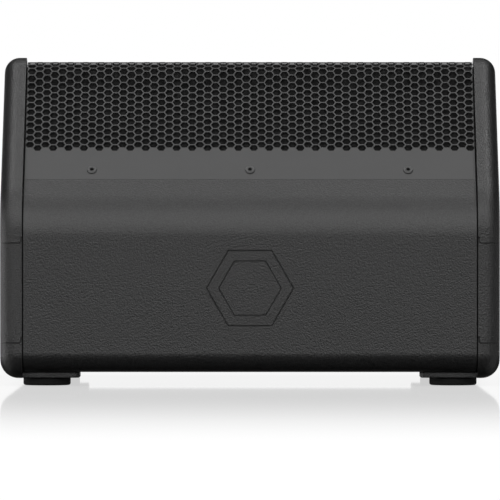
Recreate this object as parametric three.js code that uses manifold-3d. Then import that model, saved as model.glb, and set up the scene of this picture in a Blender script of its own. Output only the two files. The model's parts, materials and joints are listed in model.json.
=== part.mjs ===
// Stage monitor wedge with a 12-inch coaxial loudspeaker and a built-in amplifier.
//
// Millimetres, +Z up. The origin is on the floor, under the middle of the cabinet.
// +X is to the right when the emblem panel is looked at, and +Y runs from the emblem
// panel towards the performer, who faces the sloping baffle.

import * as THREE from 'three';
import { mergeVertices } from 'three/addons/utils/BufferGeometryUtils.js';
import Module from 'manifold-3d';

const wasm = await Module();
wasm.setup();

// ---------------------------------------------------------------- driving sizes

const WIDTH = 484;              // over both cheeks
const DEPTH = 440;              // emblem panel to front lip
const SEAM = 220;               // middle of the gap between body and cheek
const SEAM_HALF = 0.7;          // half of that gap
const BODY_HALF = SEAM - SEAM_HALF;
const CHEEK_INNER = SEAM + SEAM_HALF;
const CHEEK_OUTER = WIDTH / 2;
const CHEEK_FILLET = 15;        // outer edge of each cheek
const HEEL_RADIUS = 19;         // the body's two bottom corners, seen from the side
const BODY_BOTTOM = 13.3;       // underside of the bottom panel
const CHEEK_BOTTOM = 7.3;       // underside of the cheeks, on top of the feet
const NEAR_ANGLE = 47.8;        // slope behind the emblem panel, degrees
const BAFFLE_ANGLE = 40;        // slope that carries the loudspeaker
const CHEEK_PROUD = 5;          // how far the cheeks stand over the slopes
const GAP = 0.3;                // air between pieces that touch

const WALL = 14;                // emblem panel and lip
const FLOOR_WALL = 12;          // bottom panel
const GRILLE_SKIN = 1.5;        // perforated steel
const FOAM_TOP = GRILLE_SKIN + GAP;
const FOAM_BOTTOM = 6.8;
const UNDER_FOAM = FOAM_BOTTOM + GAP;
const SLOPE_WALL_BOTTOM = 16;   // inner face of the wall under the near slope
const BAFFLE_TOP = 24;          // loudspeaker baffle, below the grille's outer face
const BAFFLE_THICK = 15;
const RAIL_BOTTOM = BAFFLE_TOP - GAP;
const NEAR_STRIP = 37;          // unperforated edge of the grille
const FAR_STRIP = 30;
const TEXTURED_SLOPE = 19.7;    // bare slope between shoulder and grille
const GRILLE_RUN = 323;         // ridge to the grille's lower edge on the baffle side
const BAFFLE_RUN = 340;         // the same for the baffle board

const DRIVER_RUN = 168;         // loudspeaker's centre, down the baffle from the ridge
const PORT_X = 180;
const PORT_Y = 90;              // down the baffle from the loudspeaker's centre
const PORT_BORE = 25.5;
const PORT_WALL = 3;

const POCKET_LOW = 51.5;        // side pockets, in both cheeks
const POCKET_HIGH = 135.3;
const POCKET_NEAR = -160;
const POCKET_FAR = 40;
const POCKET_CORNER = 12;
const DISH_WALL = 3;
const SIDE_FACE = CHEEK_OUTER - 1.2;   // the dishes' rims lie just inside the side face

// ---------------------------------------------------------------- materials

function finish(color, roughness, metalness) {
  return new THREE.MeshStandardMaterial({ color, roughness, metalness });
}

const texturedPaint = finish(0x2b2b2c, 0.62, 0.0);
const mouldedPlastic = finish(0x28282a, 0.6, 0.0);
const satinSteel = finish(0x333334, 0.45, 0.6);
const blackSteel = finish(0x161617, 0.4, 0.7);
const zincSteel = finish(0x9a9c9e, 0.35, 0.9);
const castAlloy = finish(0x3a3b3d, 0.5, 0.7);
const foamBlack = finish(0x101011, 0.98, 0.0);
const rubberBlack = finish(0x0f0f10, 0.85, 0.0);
const plywood = finish(0x9c7a50, 0.75, 0.0);
const paperCone = finish(0x1b1b1c, 0.85, 0.0);
const clothAmber = finish(0x9a6a2c, 0.9, 0.0);
const copper = finish(0xb06a3a, 0.35, 1.0);
const ferrite = finish(0x2e2f31, 0.7, 0.2);
const titanium = finish(0xa8a9ab, 0.35, 0.9);
const aluminium = finish(0xa9abad, 0.4, 0.9);
const boardGreen = finish(0x1f4a33, 0.5, 0.0);
const capSleeve = finish(0x1c2230, 0.4, 0.0);
const blackPlastic = finish(0x121213, 0.45, 0.0);
const knobPlastic = finish(0x1c1c1d, 0.5, 0.0);
const lensGreen = finish(0x3cc45a, 0.25, 0.0);
const lensRed = finish(0xc8382c, 0.25, 0.0);
const buttonGrey = finish(0x8a8c8e, 0.5, 0.0);
const cableBlack = finish(0x0e0e0f, 0.6, 0.0);
const feltGrey = finish(0x4a4a4c, 0.98, 0.0);

// ---------------------------------------------------------------- solids

// A closed three.js geometry becomes a solid: shared corners are merged, slivers on a
// lathe's axis are dropped, and the faces are turned outwards.
function solid(geometry) {
  const bare = geometry.clone();
  bare.deleteAttribute('normal');
  bare.deleteAttribute('uv');
  const merged = mergeVertices(bare, 1e-4);
  const points = merged.getAttribute('position').array;
  const corners = merged.getIndex().array;
  const kept = [];
  let volume = 0;
  const a = new THREE.Vector3();
  const b = new THREE.Vector3();
  const c = new THREE.Vector3();
  for (let i = 0; i < corners.length; i += 3) {
    const [p, q, r] = [corners[i], corners[i + 1], corners[i + 2]];
    if (p === q || q === r || r === p) continue;
    kept.push(p, q, r);
    a.fromArray(points, 3 * p);
    b.fromArray(points, 3 * q);
    c.fromArray(points, 3 * r);
    volume += a.dot(b.cross(c));
  }
  if (volume < 0) {
    for (let i = 0; i < kept.length; i += 3) {
      [kept[i + 1], kept[i + 2]] = [kept[i + 2], kept[i + 1]];
    }
  }
  return new wasm.Manifold(new wasm.Mesh({
    numProp: 3,
    vertProperties: new Float32Array(points),
    triVerts: new Uint32Array(kept),
  }));
}

function geometryOf(body) {
  const mesh = body.getMesh();
  const geometry = new THREE.BufferGeometry();
  geometry.setAttribute('position', new THREE.BufferAttribute(mesh.vertProperties, 3));
  geometry.setIndex(new THREE.BufferAttribute(mesh.triVerts, 1));
  geometry.computeVertexNormals();
  return geometry;
}

const wedge = new THREE.Group();

function addPiece(name, body, material, parent = wedge) {
  const mesh = new THREE.Mesh(geometryOf(body), material);
  mesh.name = name;
  parent.add(mesh);
  return mesh;
}

function box(low, high) {
  const size = high.map((value, axis) => value - low[axis]);
  const middle = high.map((value, axis) => (value + low[axis]) / 2);
  const geometry = new THREE.BoxGeometry(...size);
  geometry.translate(...middle);
  return solid(geometry);
}

// A profile of [radius, height] turned about the local Z axis.
function turned(profile, segments = 24) {
  const points = profile.map(([radius, height]) => new THREE.Vector2(radius, height));
  const geometry = new THREE.LatheGeometry(points, segments);
  geometry.rotateX(Math.PI / 2);
  return solid(geometry);
}

function ringProfile(inner, outer, low, high) {
  return [[inner, low], [outer, low], [outer, high], [inner, high], [inner, low]];
}

function rod(radius, low, high, segments = 20) {
  return turned([[0, low], [radius, low], [radius, high], [0, high]], segments);
}

function tube(inner, outer, low, high, segments = 24) {
  return turned(ringProfile(inner, outer, low, high), segments);
}

// The local axes of an extrusion: its outline's two axes and the way it grows.
const FRAMES = {
  alongX: [[0, 1, 0], [0, 0, 1], [1, 0, 0]],
  alongY: [[1, 0, 0], [0, 0, 1], [0, -1, 0]],
  alongZ: [[1, 0, 0], [0, 1, 0], [0, 0, 1]],
};

function extruded(shape, frame, from, to, bevel = {}) {
  const settings = { depth: to - from, bevelEnabled: false, curveSegments: 4, ...bevel };
  const geometry = new THREE.ExtrudeGeometry(shape, settings);
  const axes = FRAMES[frame].map((axis) => new THREE.Vector3(...axis));
  geometry.translate(0, 0, frame === 'alongY' ? -to : from);
  geometry.applyMatrix4(new THREE.Matrix4().makeBasis(...axes));
  return solid(geometry);
}

function roundedRectangle(x0, y0, x1, y1, radius, ShapeClass = THREE.Shape) {
  const shape = new ShapeClass();
  shape.moveTo(x0 + radius, y0);
  shape.lineTo(x1 - radius, y0);
  shape.absarc(x1 - radius, y0 + radius, radius, -Math.PI / 2, 0);
  shape.lineTo(x1, y1 - radius);
  shape.absarc(x1 - radius, y1 - radius, radius, 0, Math.PI / 2);
  shape.lineTo(x0 + radius, y1);
  shape.absarc(x0 + radius, y1 - radius, radius, Math.PI / 2, Math.PI);
  shape.lineTo(x0, y0 + radius);
  shape.absarc(x0 + radius, y0 + radius, radius, Math.PI, 1.5 * Math.PI);
  shape.closePath();
  return shape;
}

// A rod or tube made about Z, laid along +X with its height 0 at x.
function alongX(body, x, y, z) {
  return body.rotate([0, 90, 0]).translate([x, y, z]);
}

// ---------------------------------------------------------------- the side profile

// The cabinet's side outline: straight runs joined by round corners, followed clockwise
// when seen from +X. Stations on it are distances along it, and an inset is measured
// inwards, square to it.
class Outline {
  constructor(corners) {
    this.runs = [];
    this.stations = {};
    const bends = corners.map((corner, i) => {
      const before = corners[(i + corners.length - 1) % corners.length];
      const after = corners[(i + 1) % corners.length];
      return Outline.bend(before, corner, after);
    });
    let length = 0;
    bends.forEach((bend, i) => {
      const previous = bends[(i + bends.length - 1) % bends.length];
      const run = bend.start.clone().sub(previous.end);
      this.runs.push({ start: length, length: run.length(), from: previous.end, along: bend.into });
      length += run.length();
      this.stations[bend.name] = [length, length + bend.length];
      this.runs.push({ start: length, length: bend.length, bend });
      length += bend.length;
    });
    this.length = length;
  }

  static bend(before, corner, after) {
    const point = new THREE.Vector2(corner.y, corner.z);
    const into = point.clone().sub(new THREE.Vector2(before.y, before.z)).normalize();
    const out = new THREE.Vector2(after.y, after.z).sub(point).normalize();
    const turn = Math.atan2(into.x * out.y - into.y * out.x, into.dot(out));
    const reach = corner.radius * Math.tan(Math.abs(turn) / 2);
    const start = point.clone().addScaledVector(into, -reach);
    const end = point.clone().addScaledVector(out, reach);
    return {
      name: corner.name, into, turn, start, end,
      radius: corner.radius, length: corner.radius * Math.abs(turn),
    };
  }

  at(station, inset) {
    const wrapped = ((station % this.length) + this.length) % this.length;
    const run = this.runs.findLast((one) => one.start <= wrapped + 1e-9);
    const travelled = wrapped - run.start;
    const inward = (way) => new THREE.Vector2(way.y, -way.x);
    if (!run.bend) {
      const point = run.from.clone().addScaledVector(run.along, travelled);
      return point.addScaledVector(inward(run.along), inset);
    }
    const { bend } = run;
    const side = Math.sign(-bend.turn);
    const centre = bend.start.clone().addScaledVector(inward(bend.into), side * bend.radius);
    const angle = (bend.turn * travelled) / bend.length;
    const way = bend.into.clone().rotateAround(new THREE.Vector2(), angle);
    const radius = side * bend.radius - inset;
    return centre.addScaledVector(inward(way), -radius);
  }

  // Stations between two others: the ends of each run, and steps round each bend.
  between(from, to, step = THREE.MathUtils.degToRad(12)) {
    const list = [from];
    for (let lap = 0; lap <= 1; lap += 1) {
      this.runs.forEach((run) => {
        const steps = run.bend ? Math.max(1, Math.ceil(Math.abs(run.bend.turn) / step)) : 1;
        for (let i = 0; i < steps; i += 1) {
          const station = run.start + (run.length * i) / steps + lap * this.length;
          if (station > from + 0.01 && station < to - 0.01) list.push(station);
        }
      });
    }
    list.push(to);
    return list;
  }

  // A strip that follows the outline between two stations and two insets.
  strip(from, to, outer, inner) {
    const stations = this.between(from, to);
    const outside = stations.map((station) => this.at(station, outer));
    const inside = stations.map((station) => this.at(station, inner)).reverse();
    return new THREE.Shape([...outside, ...inside]);
  }

  loop(inset, ShapeClass = THREE.Shape) {
    const stations = this.between(0, this.length);
    stations.pop();
    stations.reverse();
    return new ShapeClass(stations.map((station) => this.at(station, inset)));
  }
}

const HALF_DEPTH = DEPTH / 2;
const slopeOf = (degrees) => Math.tan(THREE.MathUtils.degToRad(degrees));
const SHOULDER_HEIGHT = 168.2;         // where the emblem panel's and the slope's planes meet
const KINK = { y: -108, z: 291.8 };    // where the near slope steepens
const RIDGE = { y: -82.5, z: 326.8 };  // where the two slopes' planes meet
const LIP_HEIGHT = RIDGE.z - (HALF_DEPTH - RIDGE.y) * slopeOf(BAFFLE_ANGLE);

const body = new Outline([
  { name: 'heel', y: -HALF_DEPTH, z: BODY_BOTTOM, radius: HEEL_RADIUS },
  { name: 'shoulder', y: -HALF_DEPTH, z: SHOULDER_HEIGHT, radius: 60.5 },
  { name: 'kink', ...KINK, radius: 60 },
  { name: 'ridge', ...RIDGE, radius: 26.7 },
  { name: 'lip', y: HALF_DEPTH, z: LIP_HEIGHT, radius: 30 },
  { name: 'toe', y: HALF_DEPTH, z: BODY_BOTTOM, radius: HEEL_RADIUS },
]);

const liftedBy = (degrees) => CHEEK_PROUD / Math.cos(THREE.MathUtils.degToRad(degrees));
const cheekShoulder = SHOULDER_HEIGHT + liftedBy(NEAR_ANGLE);
const cheekLip = LIP_HEIGHT + liftedBy(BAFFLE_ANGLE);
const cheekRise = cheekLip + DEPTH * slopeOf(BAFFLE_ANGLE) - cheekShoulder;
const cheekRidgeRun = cheekRise / (slopeOf(NEAR_ANGLE) + slopeOf(BAFFLE_ANGLE));
const CHEEK_RIDGE_RADIUS = 26.5;

function cheekCorners(grown) {
  const ridgeHeight = cheekShoulder + cheekRidgeRun * slopeOf(NEAR_ANGLE);
  const half = HALF_DEPTH + grown;
  const bottom = CHEEK_BOTTOM - grown;
  return [
    { name: 'heel', y: -half, z: bottom, radius: 25 },
    { name: 'shoulder', y: -half, z: cheekShoulder, radius: 65 },
    { name: 'ridge', y: cheekRidgeRun - HALF_DEPTH, z: ridgeHeight + grown, radius: CHEEK_RIDGE_RADIUS },
    { name: 'lip', y: half, z: cheekLip, radius: 35 },
    { name: 'toe', y: half, z: bottom, radius: 25 },
  ];
}

const cheekOutline = new Outline(cheekCorners(0));

// ---------------------------------------------------------------- cabinet panels

const heelStart = body.stations.heel[0];
const shoulderEnd = body.stations.shoulder[1];
const [ridgeStart, ridgeEnd] = body.stations.ridge;
const grilleStart = shoulderEnd + TEXTURED_SLOPE;
const grilleEnd = ridgeEnd + GRILLE_RUN;
const nearStripEnd = grilleStart + NEAR_STRIP;
const farStripStart = grilleEnd - FAR_STRIP;
const toeEnd = body.stations.toe[1];

function panel(from, to, outer, inner, half = BODY_HALF) {
  return extruded(body.strip(from, to, outer, inner), 'alongX', -half, half);
}

const EMBLEM_HEIGHT = 94.6;
const EMBLEM_RADIUS = 42;       // to the hexagon's corners, middle of the groove
const EMBLEM_GROOVE = 1.4;
const EMBLEM_DEPTH = 1.2;

function hexagon(radius, ShapeClass = THREE.Shape) {
  const corners = [0, 1, 2, 3, 4, 5].map((i) => {
    const angle = (i * Math.PI) / 3;
    return new THREE.Vector2(radius * Math.cos(angle), EMBLEM_HEIGHT + radius * Math.sin(angle));
  });
  return new ShapeClass(corners);
}

const screwPilot = 2.8;
const SCREW_X = 153.6;
const SCREW_INSET = 12;         // screws, in from the grille's edges
const screwRows = { rear: grilleStart + SCREW_INSET, front: grilleEnd - SCREW_INSET };

// Brings something made about local Z to a station on the outline, Z pointing outwards.
function onOutline(shape, station, x) {
  const foot = body.at(station, 0);
  const outward = body.at(station, -1).sub(foot);
  const tilt = THREE.MathUtils.radToDeg(Math.atan2(-outward.x, outward.y));
  return shape.rotate([tilt, 0, 0]).translate([x, foot.x, foot.y]);
}

function rearPanel() {
  const ring = hexagon(EMBLEM_RADIUS + EMBLEM_GROOVE / 2);
  ring.holes.push(hexagon(EMBLEM_RADIUS - EMBLEM_GROOVE / 2, THREE.Path));
  const groove = extruded(ring, 'alongY', -HALF_DEPTH - 1, -HALF_DEPTH + EMBLEM_DEPTH);
  let shell = panel(heelStart, grilleStart - GAP, 0, WALL)
    .add(panel(grilleStart - GAP - 1, nearStripEnd, FOAM_TOP, WALL))
    .add(panel(nearStripEnd - 1, ridgeEnd, UNDER_FOAM, SLOPE_WALL_BOTTOM))
    .add(panel(ridgeStart, ridgeEnd + 10, UNDER_FOAM, RAIL_BOTTOM))
    .subtract(groove);
  [-SCREW_X, 0, SCREW_X].forEach((x) => {
    shell = shell.subtract(onOutline(rod(screwPilot, -20, 2, 12), screwRows.rear, x));
  });
  return shell;
}

function bottomPanel() {
  const reach = HALF_DEPTH - HEEL_RADIUS - GAP;
  return box([-BODY_HALF, -reach, BODY_BOTTOM], [BODY_HALF, reach, BODY_BOTTOM + FLOOR_WALL]);
}

function frontLip() {
  const railEnd = grilleEnd + 22;
  const surroundClear = 10;
  let shell = panel(grilleEnd + GAP, toeEnd, 0, FLOOR_WALL)
    .add(panel(farStripStart, railEnd, FOAM_TOP, surroundClear))
    .add(panel(grilleEnd + 4, railEnd, surroundClear - 1, RAIL_BOTTOM));
  [-SCREW_X, 0, SCREW_X].forEach((x) => {
    shell = shell.subtract(onOutline(rod(screwPilot, -17, 2, 12), screwRows.front, x));
  });
  return shell;
}

addPiece('rear_panel', rearPanel(), texturedPaint);
addPiece('bottom_panel', bottomPanel(), texturedPaint);
addPiece('front_lip', frontLip(), texturedPaint);

// ---------------------------------------------------------------- grille, foam, screws

const GRILLE_HALF = BODY_HALF - GAP;
const SCREW_CLEARANCE = 3;

function grille() {
  let sheet = panel(grilleStart, grilleEnd, 0, GRILLE_SKIN, GRILLE_HALF);
  [-SCREW_X, 0, SCREW_X].forEach((x) => {
    const hole = rod(SCREW_CLEARANCE, -4, 2, 12);
    sheet = sheet.subtract(onOutline(hole, screwRows.rear, x));
    sheet = sheet.subtract(onOutline(hole, screwRows.front, x));
  });
  return sheet;
}

addPiece('grille', grille(), satinSteel);
addPiece('grille_foam',
  panel(nearStripEnd + GAP, farStripStart - GAP, FOAM_TOP, FOAM_BOTTOM, GRILLE_HALF - 5), foamBlack);

function grilleScrew() {
  const head = turned([
    [0, -13], [2.4, -13], [2.4, GAP], [4.75, GAP], [4.75, 1.3], [3, 2.8], [0, 2.8],
  ], 12);
  const socket = rod(1.7, 1.4, 4, 6);
  return head.subtract(socket);
}

['rear', 'front'].forEach((row) => {
  [-SCREW_X, 0, SCREW_X].forEach((x, i) => {
    addPiece(`grille_screw_${row}_${i + 1}`, onOutline(grilleScrew(), screwRows[row], x), blackSteel);
  });
});

// ---------------------------------------------------------------- cheeks and feet

const FOOT_RADIUS = 23;
const FOOT_X = 197.5;
const FOOT_Y = 171.5;
const PAD_INNER = 165.4;        // moulded pads of the cheeks, which the feet are screwed to
const PAD_OUTER = 225;
const PAD_HALF = 27;
const RIB_GROWN = 1;            // how far the corner ribs stand out of the end faces
const RIBS = [[42.3, 48.1], [138.7, 144.5]];
const RIB_INNER = CHEEK_INNER + 1.8;

// One cheek's outer form, grown in its own plane, with the outer edge rounded over.
function cheekBlank(grown) {
  const outline = grown ? new Outline(cheekCorners(grown)) : cheekOutline;
  const fillet = {
    bevelEnabled: true, bevelThickness: CHEEK_FILLET, bevelSize: CHEEK_FILLET, bevelSegments: 3,
  };
  const deep = 40;
  const blank = extruded(outline.loop(CHEEK_FILLET), 'alongX',
    CHEEK_OUTER - CHEEK_FILLET - deep, CHEEK_OUTER - CHEEK_FILLET, fillet);
  return blank.intersect(box([CHEEK_INNER, -300, -50], [CHEEK_OUTER + 1, 300, 400]));
}

function rightCheek() {
  let cheek = cheekBlank(0);
  const grown = cheekBlank(RIB_GROWN);
  RIBS.forEach(([low, high]) => {
    const near = box([RIB_INNER, -HALF_DEPTH - 5, low], [CHEEK_OUTER, -HALF_DEPTH + 12, high]);
    cheek = cheek.add(grown.intersect(near));
  });
  const far = box([RIB_INNER, HALF_DEPTH - 12, RIBS[0][0]], [CHEEK_OUTER, HALF_DEPTH + 5, RIBS[0][1]]);
  cheek = cheek.add(grown.intersect(far));
  [-FOOT_Y, FOOT_Y].forEach((y) => {
    const pad = roundedRectangle(PAD_INNER, y - PAD_HALF, PAD_OUTER, y + PAD_HALF, 6);
    cheek = cheek.add(extruded(pad, 'alongZ', CHEEK_BOTTOM + GAP, BODY_BOTTOM - GAP));
  });
  const pocket = roundedRectangle(POCKET_NEAR, POCKET_LOW, POCKET_FAR, POCKET_HIGH, POCKET_CORNER);
  return cheek.subtract(extruded(pocket, 'alongX', CHEEK_INNER - 20, CHEEK_OUTER + 20));
}

const SEAL_OUTER = 3;           // the gasket's edges, in from the body's outline
const SEAL_INNER = 9;

function gasket() {
  const ring = body.loop(SEAL_OUTER);
  ring.holes.push(body.loop(SEAL_INNER, THREE.Path));
  return extruded(ring, 'alongX', BODY_HALF + GAP, CHEEK_INNER - GAP);
}

const mirrored = (shape) => shape.mirror([1, 0, 0]);
const cheek = rightCheek();
addPiece('right_cheek', cheek, mouldedPlastic);
addPiece('left_cheek', mirrored(cheek), mouldedPlastic);
const seal = gasket();
addPiece('right_gasket', seal, rubberBlack);
addPiece('left_gasket', mirrored(seal), rubberBlack);

const foot = turned([
  [0, 3.5], [5, 3.5], [5, 0], [21.4, 0], [FOOT_RADIUS, 1.6],
  [FOOT_RADIUS, CHEEK_BOTTOM], [0, CHEEK_BOTTOM],
], 28);
[[-1, -1], [1, -1], [1, 1], [-1, 1]].forEach(([sideX, sideY], i) => {
  addPiece(`foot_${i + 1}`, foot.translate([sideX * FOOT_X, sideY * FOOT_Y, 0]), rubberBlack);
});

// ---------------------------------------------------------------- side pockets

// An open-ended moulded sleeve that lines a pocket, its rim near the side face.
function pocketSleeve(depthTo) {
  const inset = (extra) => [
    POCKET_NEAR + extra, POCKET_LOW + extra, POCKET_FAR - extra, POCKET_HIGH - extra,
    POCKET_CORNER - extra,
  ];
  const wall = roundedRectangle(...inset(GAP));
  wall.holes.push(roundedRectangle(...inset(GAP + DISH_WALL), THREE.Path));
  return { inset, sleeve: extruded(wall, 'alongX', depthTo, SIDE_FACE) };
}

const HANDLE_DEPTH = 48;
const handleBack = CHEEK_OUTER - HANDLE_DEPTH;

function handleDish() {
  const { inset, sleeve } = pocketSleeve(handleBack);
  const back = roundedRectangle(...inset(GAP));
  return sleeve.add(extruded(back, 'alongX', handleBack - DISH_WALL, handleBack + 0.01));
}

const GRIP = { inner: 216, outer: 236, low: 98, high: 122, radius: 8 };

function handleGrip() {
  const clear = GAP + DISH_WALL + GAP;
  const section = roundedRectangle(GRIP.inner, GRIP.low, GRIP.outer, GRIP.high, GRIP.radius);
  return extruded(section, 'alongY', POCKET_NEAR + clear, POCKET_FAR - clear);
}

addPiece('handle_dish', mirrored(handleDish()), mouldedPlastic);
addPiece('handle_grip', mirrored(handleGrip()), rubberBlack);

const PANEL_FRONT = 210;
const PANEL_BACK = 208;
const LEDGE_FRONT = PANEL_BACK - GAP;

function connectorDish() {
  const { inset, sleeve } = pocketSleeve(LEDGE_FRONT - 3);
  const ledge = roundedRectangle(...inset(GAP + 1));
  const opening = GAP + DISH_WALL + 7;
  const [y0, z0, y1, z1] = inset(opening);
  ledge.holes.push(roundedRectangle(y0, z0, y1, z1, 4, THREE.Path));
  return sleeve.add(extruded(ledge, 'alongX', LEDGE_FRONT - 3, LEDGE_FRONT));
}

addPiece('connector_dish', connectorDish(), mouldedPlastic);

// ---------------------------------------------------------------- connector panel

const ROW = 94;                 // height of the row of connectors
const AT = {                    // each fitting's place along the panel
  input: -136, link: -104, level: -72, lamps: -52, rocker: -26, mains: 10,
};
const SIGNAL_Z = 110;
const LIMIT_Z = 99;
const MODE_Z = 82;
const SOCKET_BARREL = 11.8;
const ROCKER_BODY = [11, 15];   // half width and half height through the panel
const MAINS_BODY = [13, 23];
const LATCH_Z = ROW + 13;
const LATCH_SLOT = [3.3, 1.9];

function slab(y, z, halfY, halfZ, x0, x1) {
  return box([x0, y - halfY, z - halfZ], [x1, y + halfY, z + halfZ]);
}

function inputPanel() {
  const clear = GAP + DISH_WALL + GAP;
  const outline = roundedRectangle(
    POCKET_NEAR + clear, POCKET_LOW + clear, POCKET_FAR - clear, POCKET_HIGH - clear,
    POCKET_CORNER - clear);
  let plate = extruded(outline, 'alongX', PANEL_BACK, PANEL_FRONT);
  const drill = (radius, y, z) => {
    plate = plate.subtract(alongX(rod(radius, -5, 10, 16), 205, y, z));
  };
  drill(SOCKET_BARREL + GAP, AT.input, ROW);
  drill(SOCKET_BARREL + GAP, AT.link, ROW);
  drill(4.3, AT.level, ROW);
  drill(1.8, AT.lamps, SIGNAL_Z);
  drill(1.8, AT.lamps, LIMIT_Z);
  const square = (y, z, halfY, halfZ) => {
    plate = plate.subtract(slab(y, z, halfY + GAP, halfZ + GAP, 200, 220));
  };
  square(AT.lamps, MODE_Z, 4, 4);
  square(AT.input, LATCH_Z, ...LATCH_SLOT);
  square(AT.rocker, ROW, ...ROCKER_BODY);
  square(AT.mains, ROW, ...MAINS_BODY);
  return plate;
}

addPiece('input_panel', inputPanel(), blackSteel);

const FLANGE_BACK = PANEL_FRONT + GAP;

function socketShell(y, boreDepth) {
  const outline = roundedRectangle(y - 13, ROW - 15.5, y + 13, ROW + 15.5, 2.5);
  const flange = extruded(outline, 'alongX', FLANGE_BACK, FLANGE_BACK + 2);
  const barrel = alongX(rod(SOCKET_BARREL, 0, FLANGE_BACK + 1 - 188, 24), 188, y, ROW);
  const bore = alongX(rod(9.6, 0, 30, 20), FLANGE_BACK + 2 - boreDepth, y, ROW);
  return flange.add(barrel).subtract(bore);
}

function inputJack() {
  const latchSlot = slab(AT.input, LATCH_Z, ...LATCH_SLOT, 204, 216);
  return socketShell(AT.input, 15).subtract(latchSlot);
}

function linkJack() {
  let shell = socketShell(AT.link, 15);
  [[-3.6, 2.4], [3.6, 2.4], [0, -4]].forEach(([dy, dz]) => {
    shell = shell.add(alongX(rod(1.2, 0, 13, 8), FLANGE_BACK + 2 - 16, AT.link + dy, ROW + dz));
  });
  return shell;
}

addPiece('input_jack', inputJack(), blackPlastic);
addPiece('link_jack', linkJack(), blackPlastic);
addPiece('input_latch', slab(AT.input, LATCH_Z, 3, 1.6, 207, 214.6), zincSteel);

const potBody = alongX(tube(3.3, 8, 0, PANEL_BACK - GAP - 192, 16), 192, AT.level, ROW)
  .add(alongX(tube(3.3, 4, 0, FLANGE_BACK + 1 - 206, 16), 206, AT.level, ROW));
addPiece('level_pot', potBody, zincSteel);
addPiece('level_shaft', alongX(rod(3, 0, 24, 16), 196, AT.level, ROW), aluminium);

function levelKnob() {
  const low = FLANGE_BACK + 1 + GAP;
  const knob = alongX(turned([
    [0, 10.4], [3 + GAP, 10.4], [3 + GAP, 0], [9.6, 0], [8.6, 1.8], [7.6, 13.6], [0, 13.6],
  ], 24), low, AT.level, ROW);
  const pointer = box([low + 12.9, AT.level - 0.6, ROW + 2], [low + 15, AT.level + 0.6, ROW + 9]);
  return knob.subtract(pointer);
}

addPiece('level_knob', levelKnob(), knobPlastic);

const lamp = turned([[0, 0], [1.5, 0], [1.5, 6.2], [0.9, 7.2], [0, 7.4]], 12);
addPiece('signal_led', alongX(lamp, 204, AT.lamps, SIGNAL_Z), lensGreen);
addPiece('limit_led', alongX(lamp, 204, AT.lamps, LIMIT_Z), lensRed);

const switchBody = slab(AT.lamps, MODE_Z, 5.5, 5.5, 194, PANEL_BACK - GAP)
  .subtract(slab(AT.lamps, MODE_Z, 4, 4, 197, 210));
addPiece('mode_switch', switchBody, blackPlastic);
addPiece('mode_button', slab(AT.lamps, MODE_Z, 3.6, 3.6, 200.5, 214), buttonGrey);

const ROCKER_PIVOT = PANEL_BACK - 1;
const ROCKER_TILT = 8;          // switched on, lower half pressed in

function rockerFrame() {
  const rim = roundedRectangle(AT.rocker - 12.5, ROW - 17, AT.rocker + 12.5, ROW + 17, 2);
  const well = slab(AT.rocker, ROW, ROCKER_BODY[0] - 1.6, ROCKER_BODY[1] - 1.6, 195, 220);
  const pins = rod(2.3, -10.4, 10.4, 12)
    .rotate([90, 0, 0])
    .translate([ROCKER_PIVOT, AT.rocker, ROW]);
  return extruded(rim, 'alongX', FLANGE_BACK, FLANGE_BACK + 1.8)
    .add(slab(AT.rocker, ROW, ...ROCKER_BODY, 190, FLANGE_BACK + 1))
    .subtract(well)
    .subtract(pins);
}

// The rocker's section: a shallow V in front and a round heel behind the pivot.
function powerRocker() {
  const section = new THREE.Shape();
  section.moveTo(0, -12.2);
  section.lineTo(6.2, -11.8);
  section.lineTo(3.4, 0);
  section.lineTo(6.2, 11.8);
  section.lineTo(0, 12.2);
  section.absarc(0, 0, 6, Math.PI / 2, 1.5 * Math.PI);
  const halfWidth = 8.8;
  const settings = { depth: 2 * halfWidth, bevelEnabled: false, curveSegments: 8 };
  const geometry = new THREE.ExtrudeGeometry(section, settings);
  geometry.translate(0, 0, -halfWidth);
  geometry.rotateX(Math.PI / 2);
  const stub = rod(2, -10, 10, 12).rotate([90, 0, 0]);
  return solid(geometry).add(stub)
    .rotate([0, ROCKER_TILT, 0])
    .translate([ROCKER_PIVOT, AT.rocker, ROW]);
}

addPiece('rocker_frame', rockerFrame(), blackPlastic);
addPiece('power_rocker', powerRocker(), blackPlastic);

const DRAWER = { y: AT.mains, z: 108, halfY: 10, halfZ: 5.5, back: 192 };

function mainsInlet() {
  const rim = roundedRectangle(AT.mains - 15, ROW - 25, AT.mains + 15, ROW + 25, 2.5);
  const socket = extruded(
    roundedRectangle(AT.mains - 12, ROW - 20, AT.mains + 12, ROW - 2.5, 3), 'alongX', 195, 220);
  const drawerWell = slab(
    DRAWER.y, DRAWER.z, DRAWER.halfY + GAP, DRAWER.halfZ + GAP, DRAWER.back - GAP, 220);
  let inlet = extruded(rim, 'alongX', FLANGE_BACK, FLANGE_BACK + 2.2)
    .add(slab(AT.mains, ROW, ...MAINS_BODY, 188, FLANGE_BACK + 1))
    .subtract(socket)
    .subtract(drawerWell);
  [[-7, -13], [0, -9], [7, -13]].forEach(([dy, dz]) => {
    inlet = inlet.add(slab(AT.mains + dy, ROW + dz, 1, 2, 194, 209));
  });
  return inlet;
}

addPiece('mains_inlet', mainsInlet(), blackPlastic);
const drawerLip = extruded(roundedRectangle(
  DRAWER.y - 11.5, DRAWER.z - 6.8, DRAWER.y + 11.5, DRAWER.z + 6.8, 1.5), 'alongX', 212.8, 214.6);
const fuseDrawer = slab(DRAWER.y, DRAWER.z, DRAWER.halfY, DRAWER.halfZ, DRAWER.back, 213)
  .add(drawerLip)
  .subtract(slab(DRAWER.y, DRAWER.z + 3, 8, 6, 194, 206));
addPiece('fuse_drawer', fuseDrawer, blackPlastic);

// ---------------------------------------------------------------- amplifier

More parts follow.
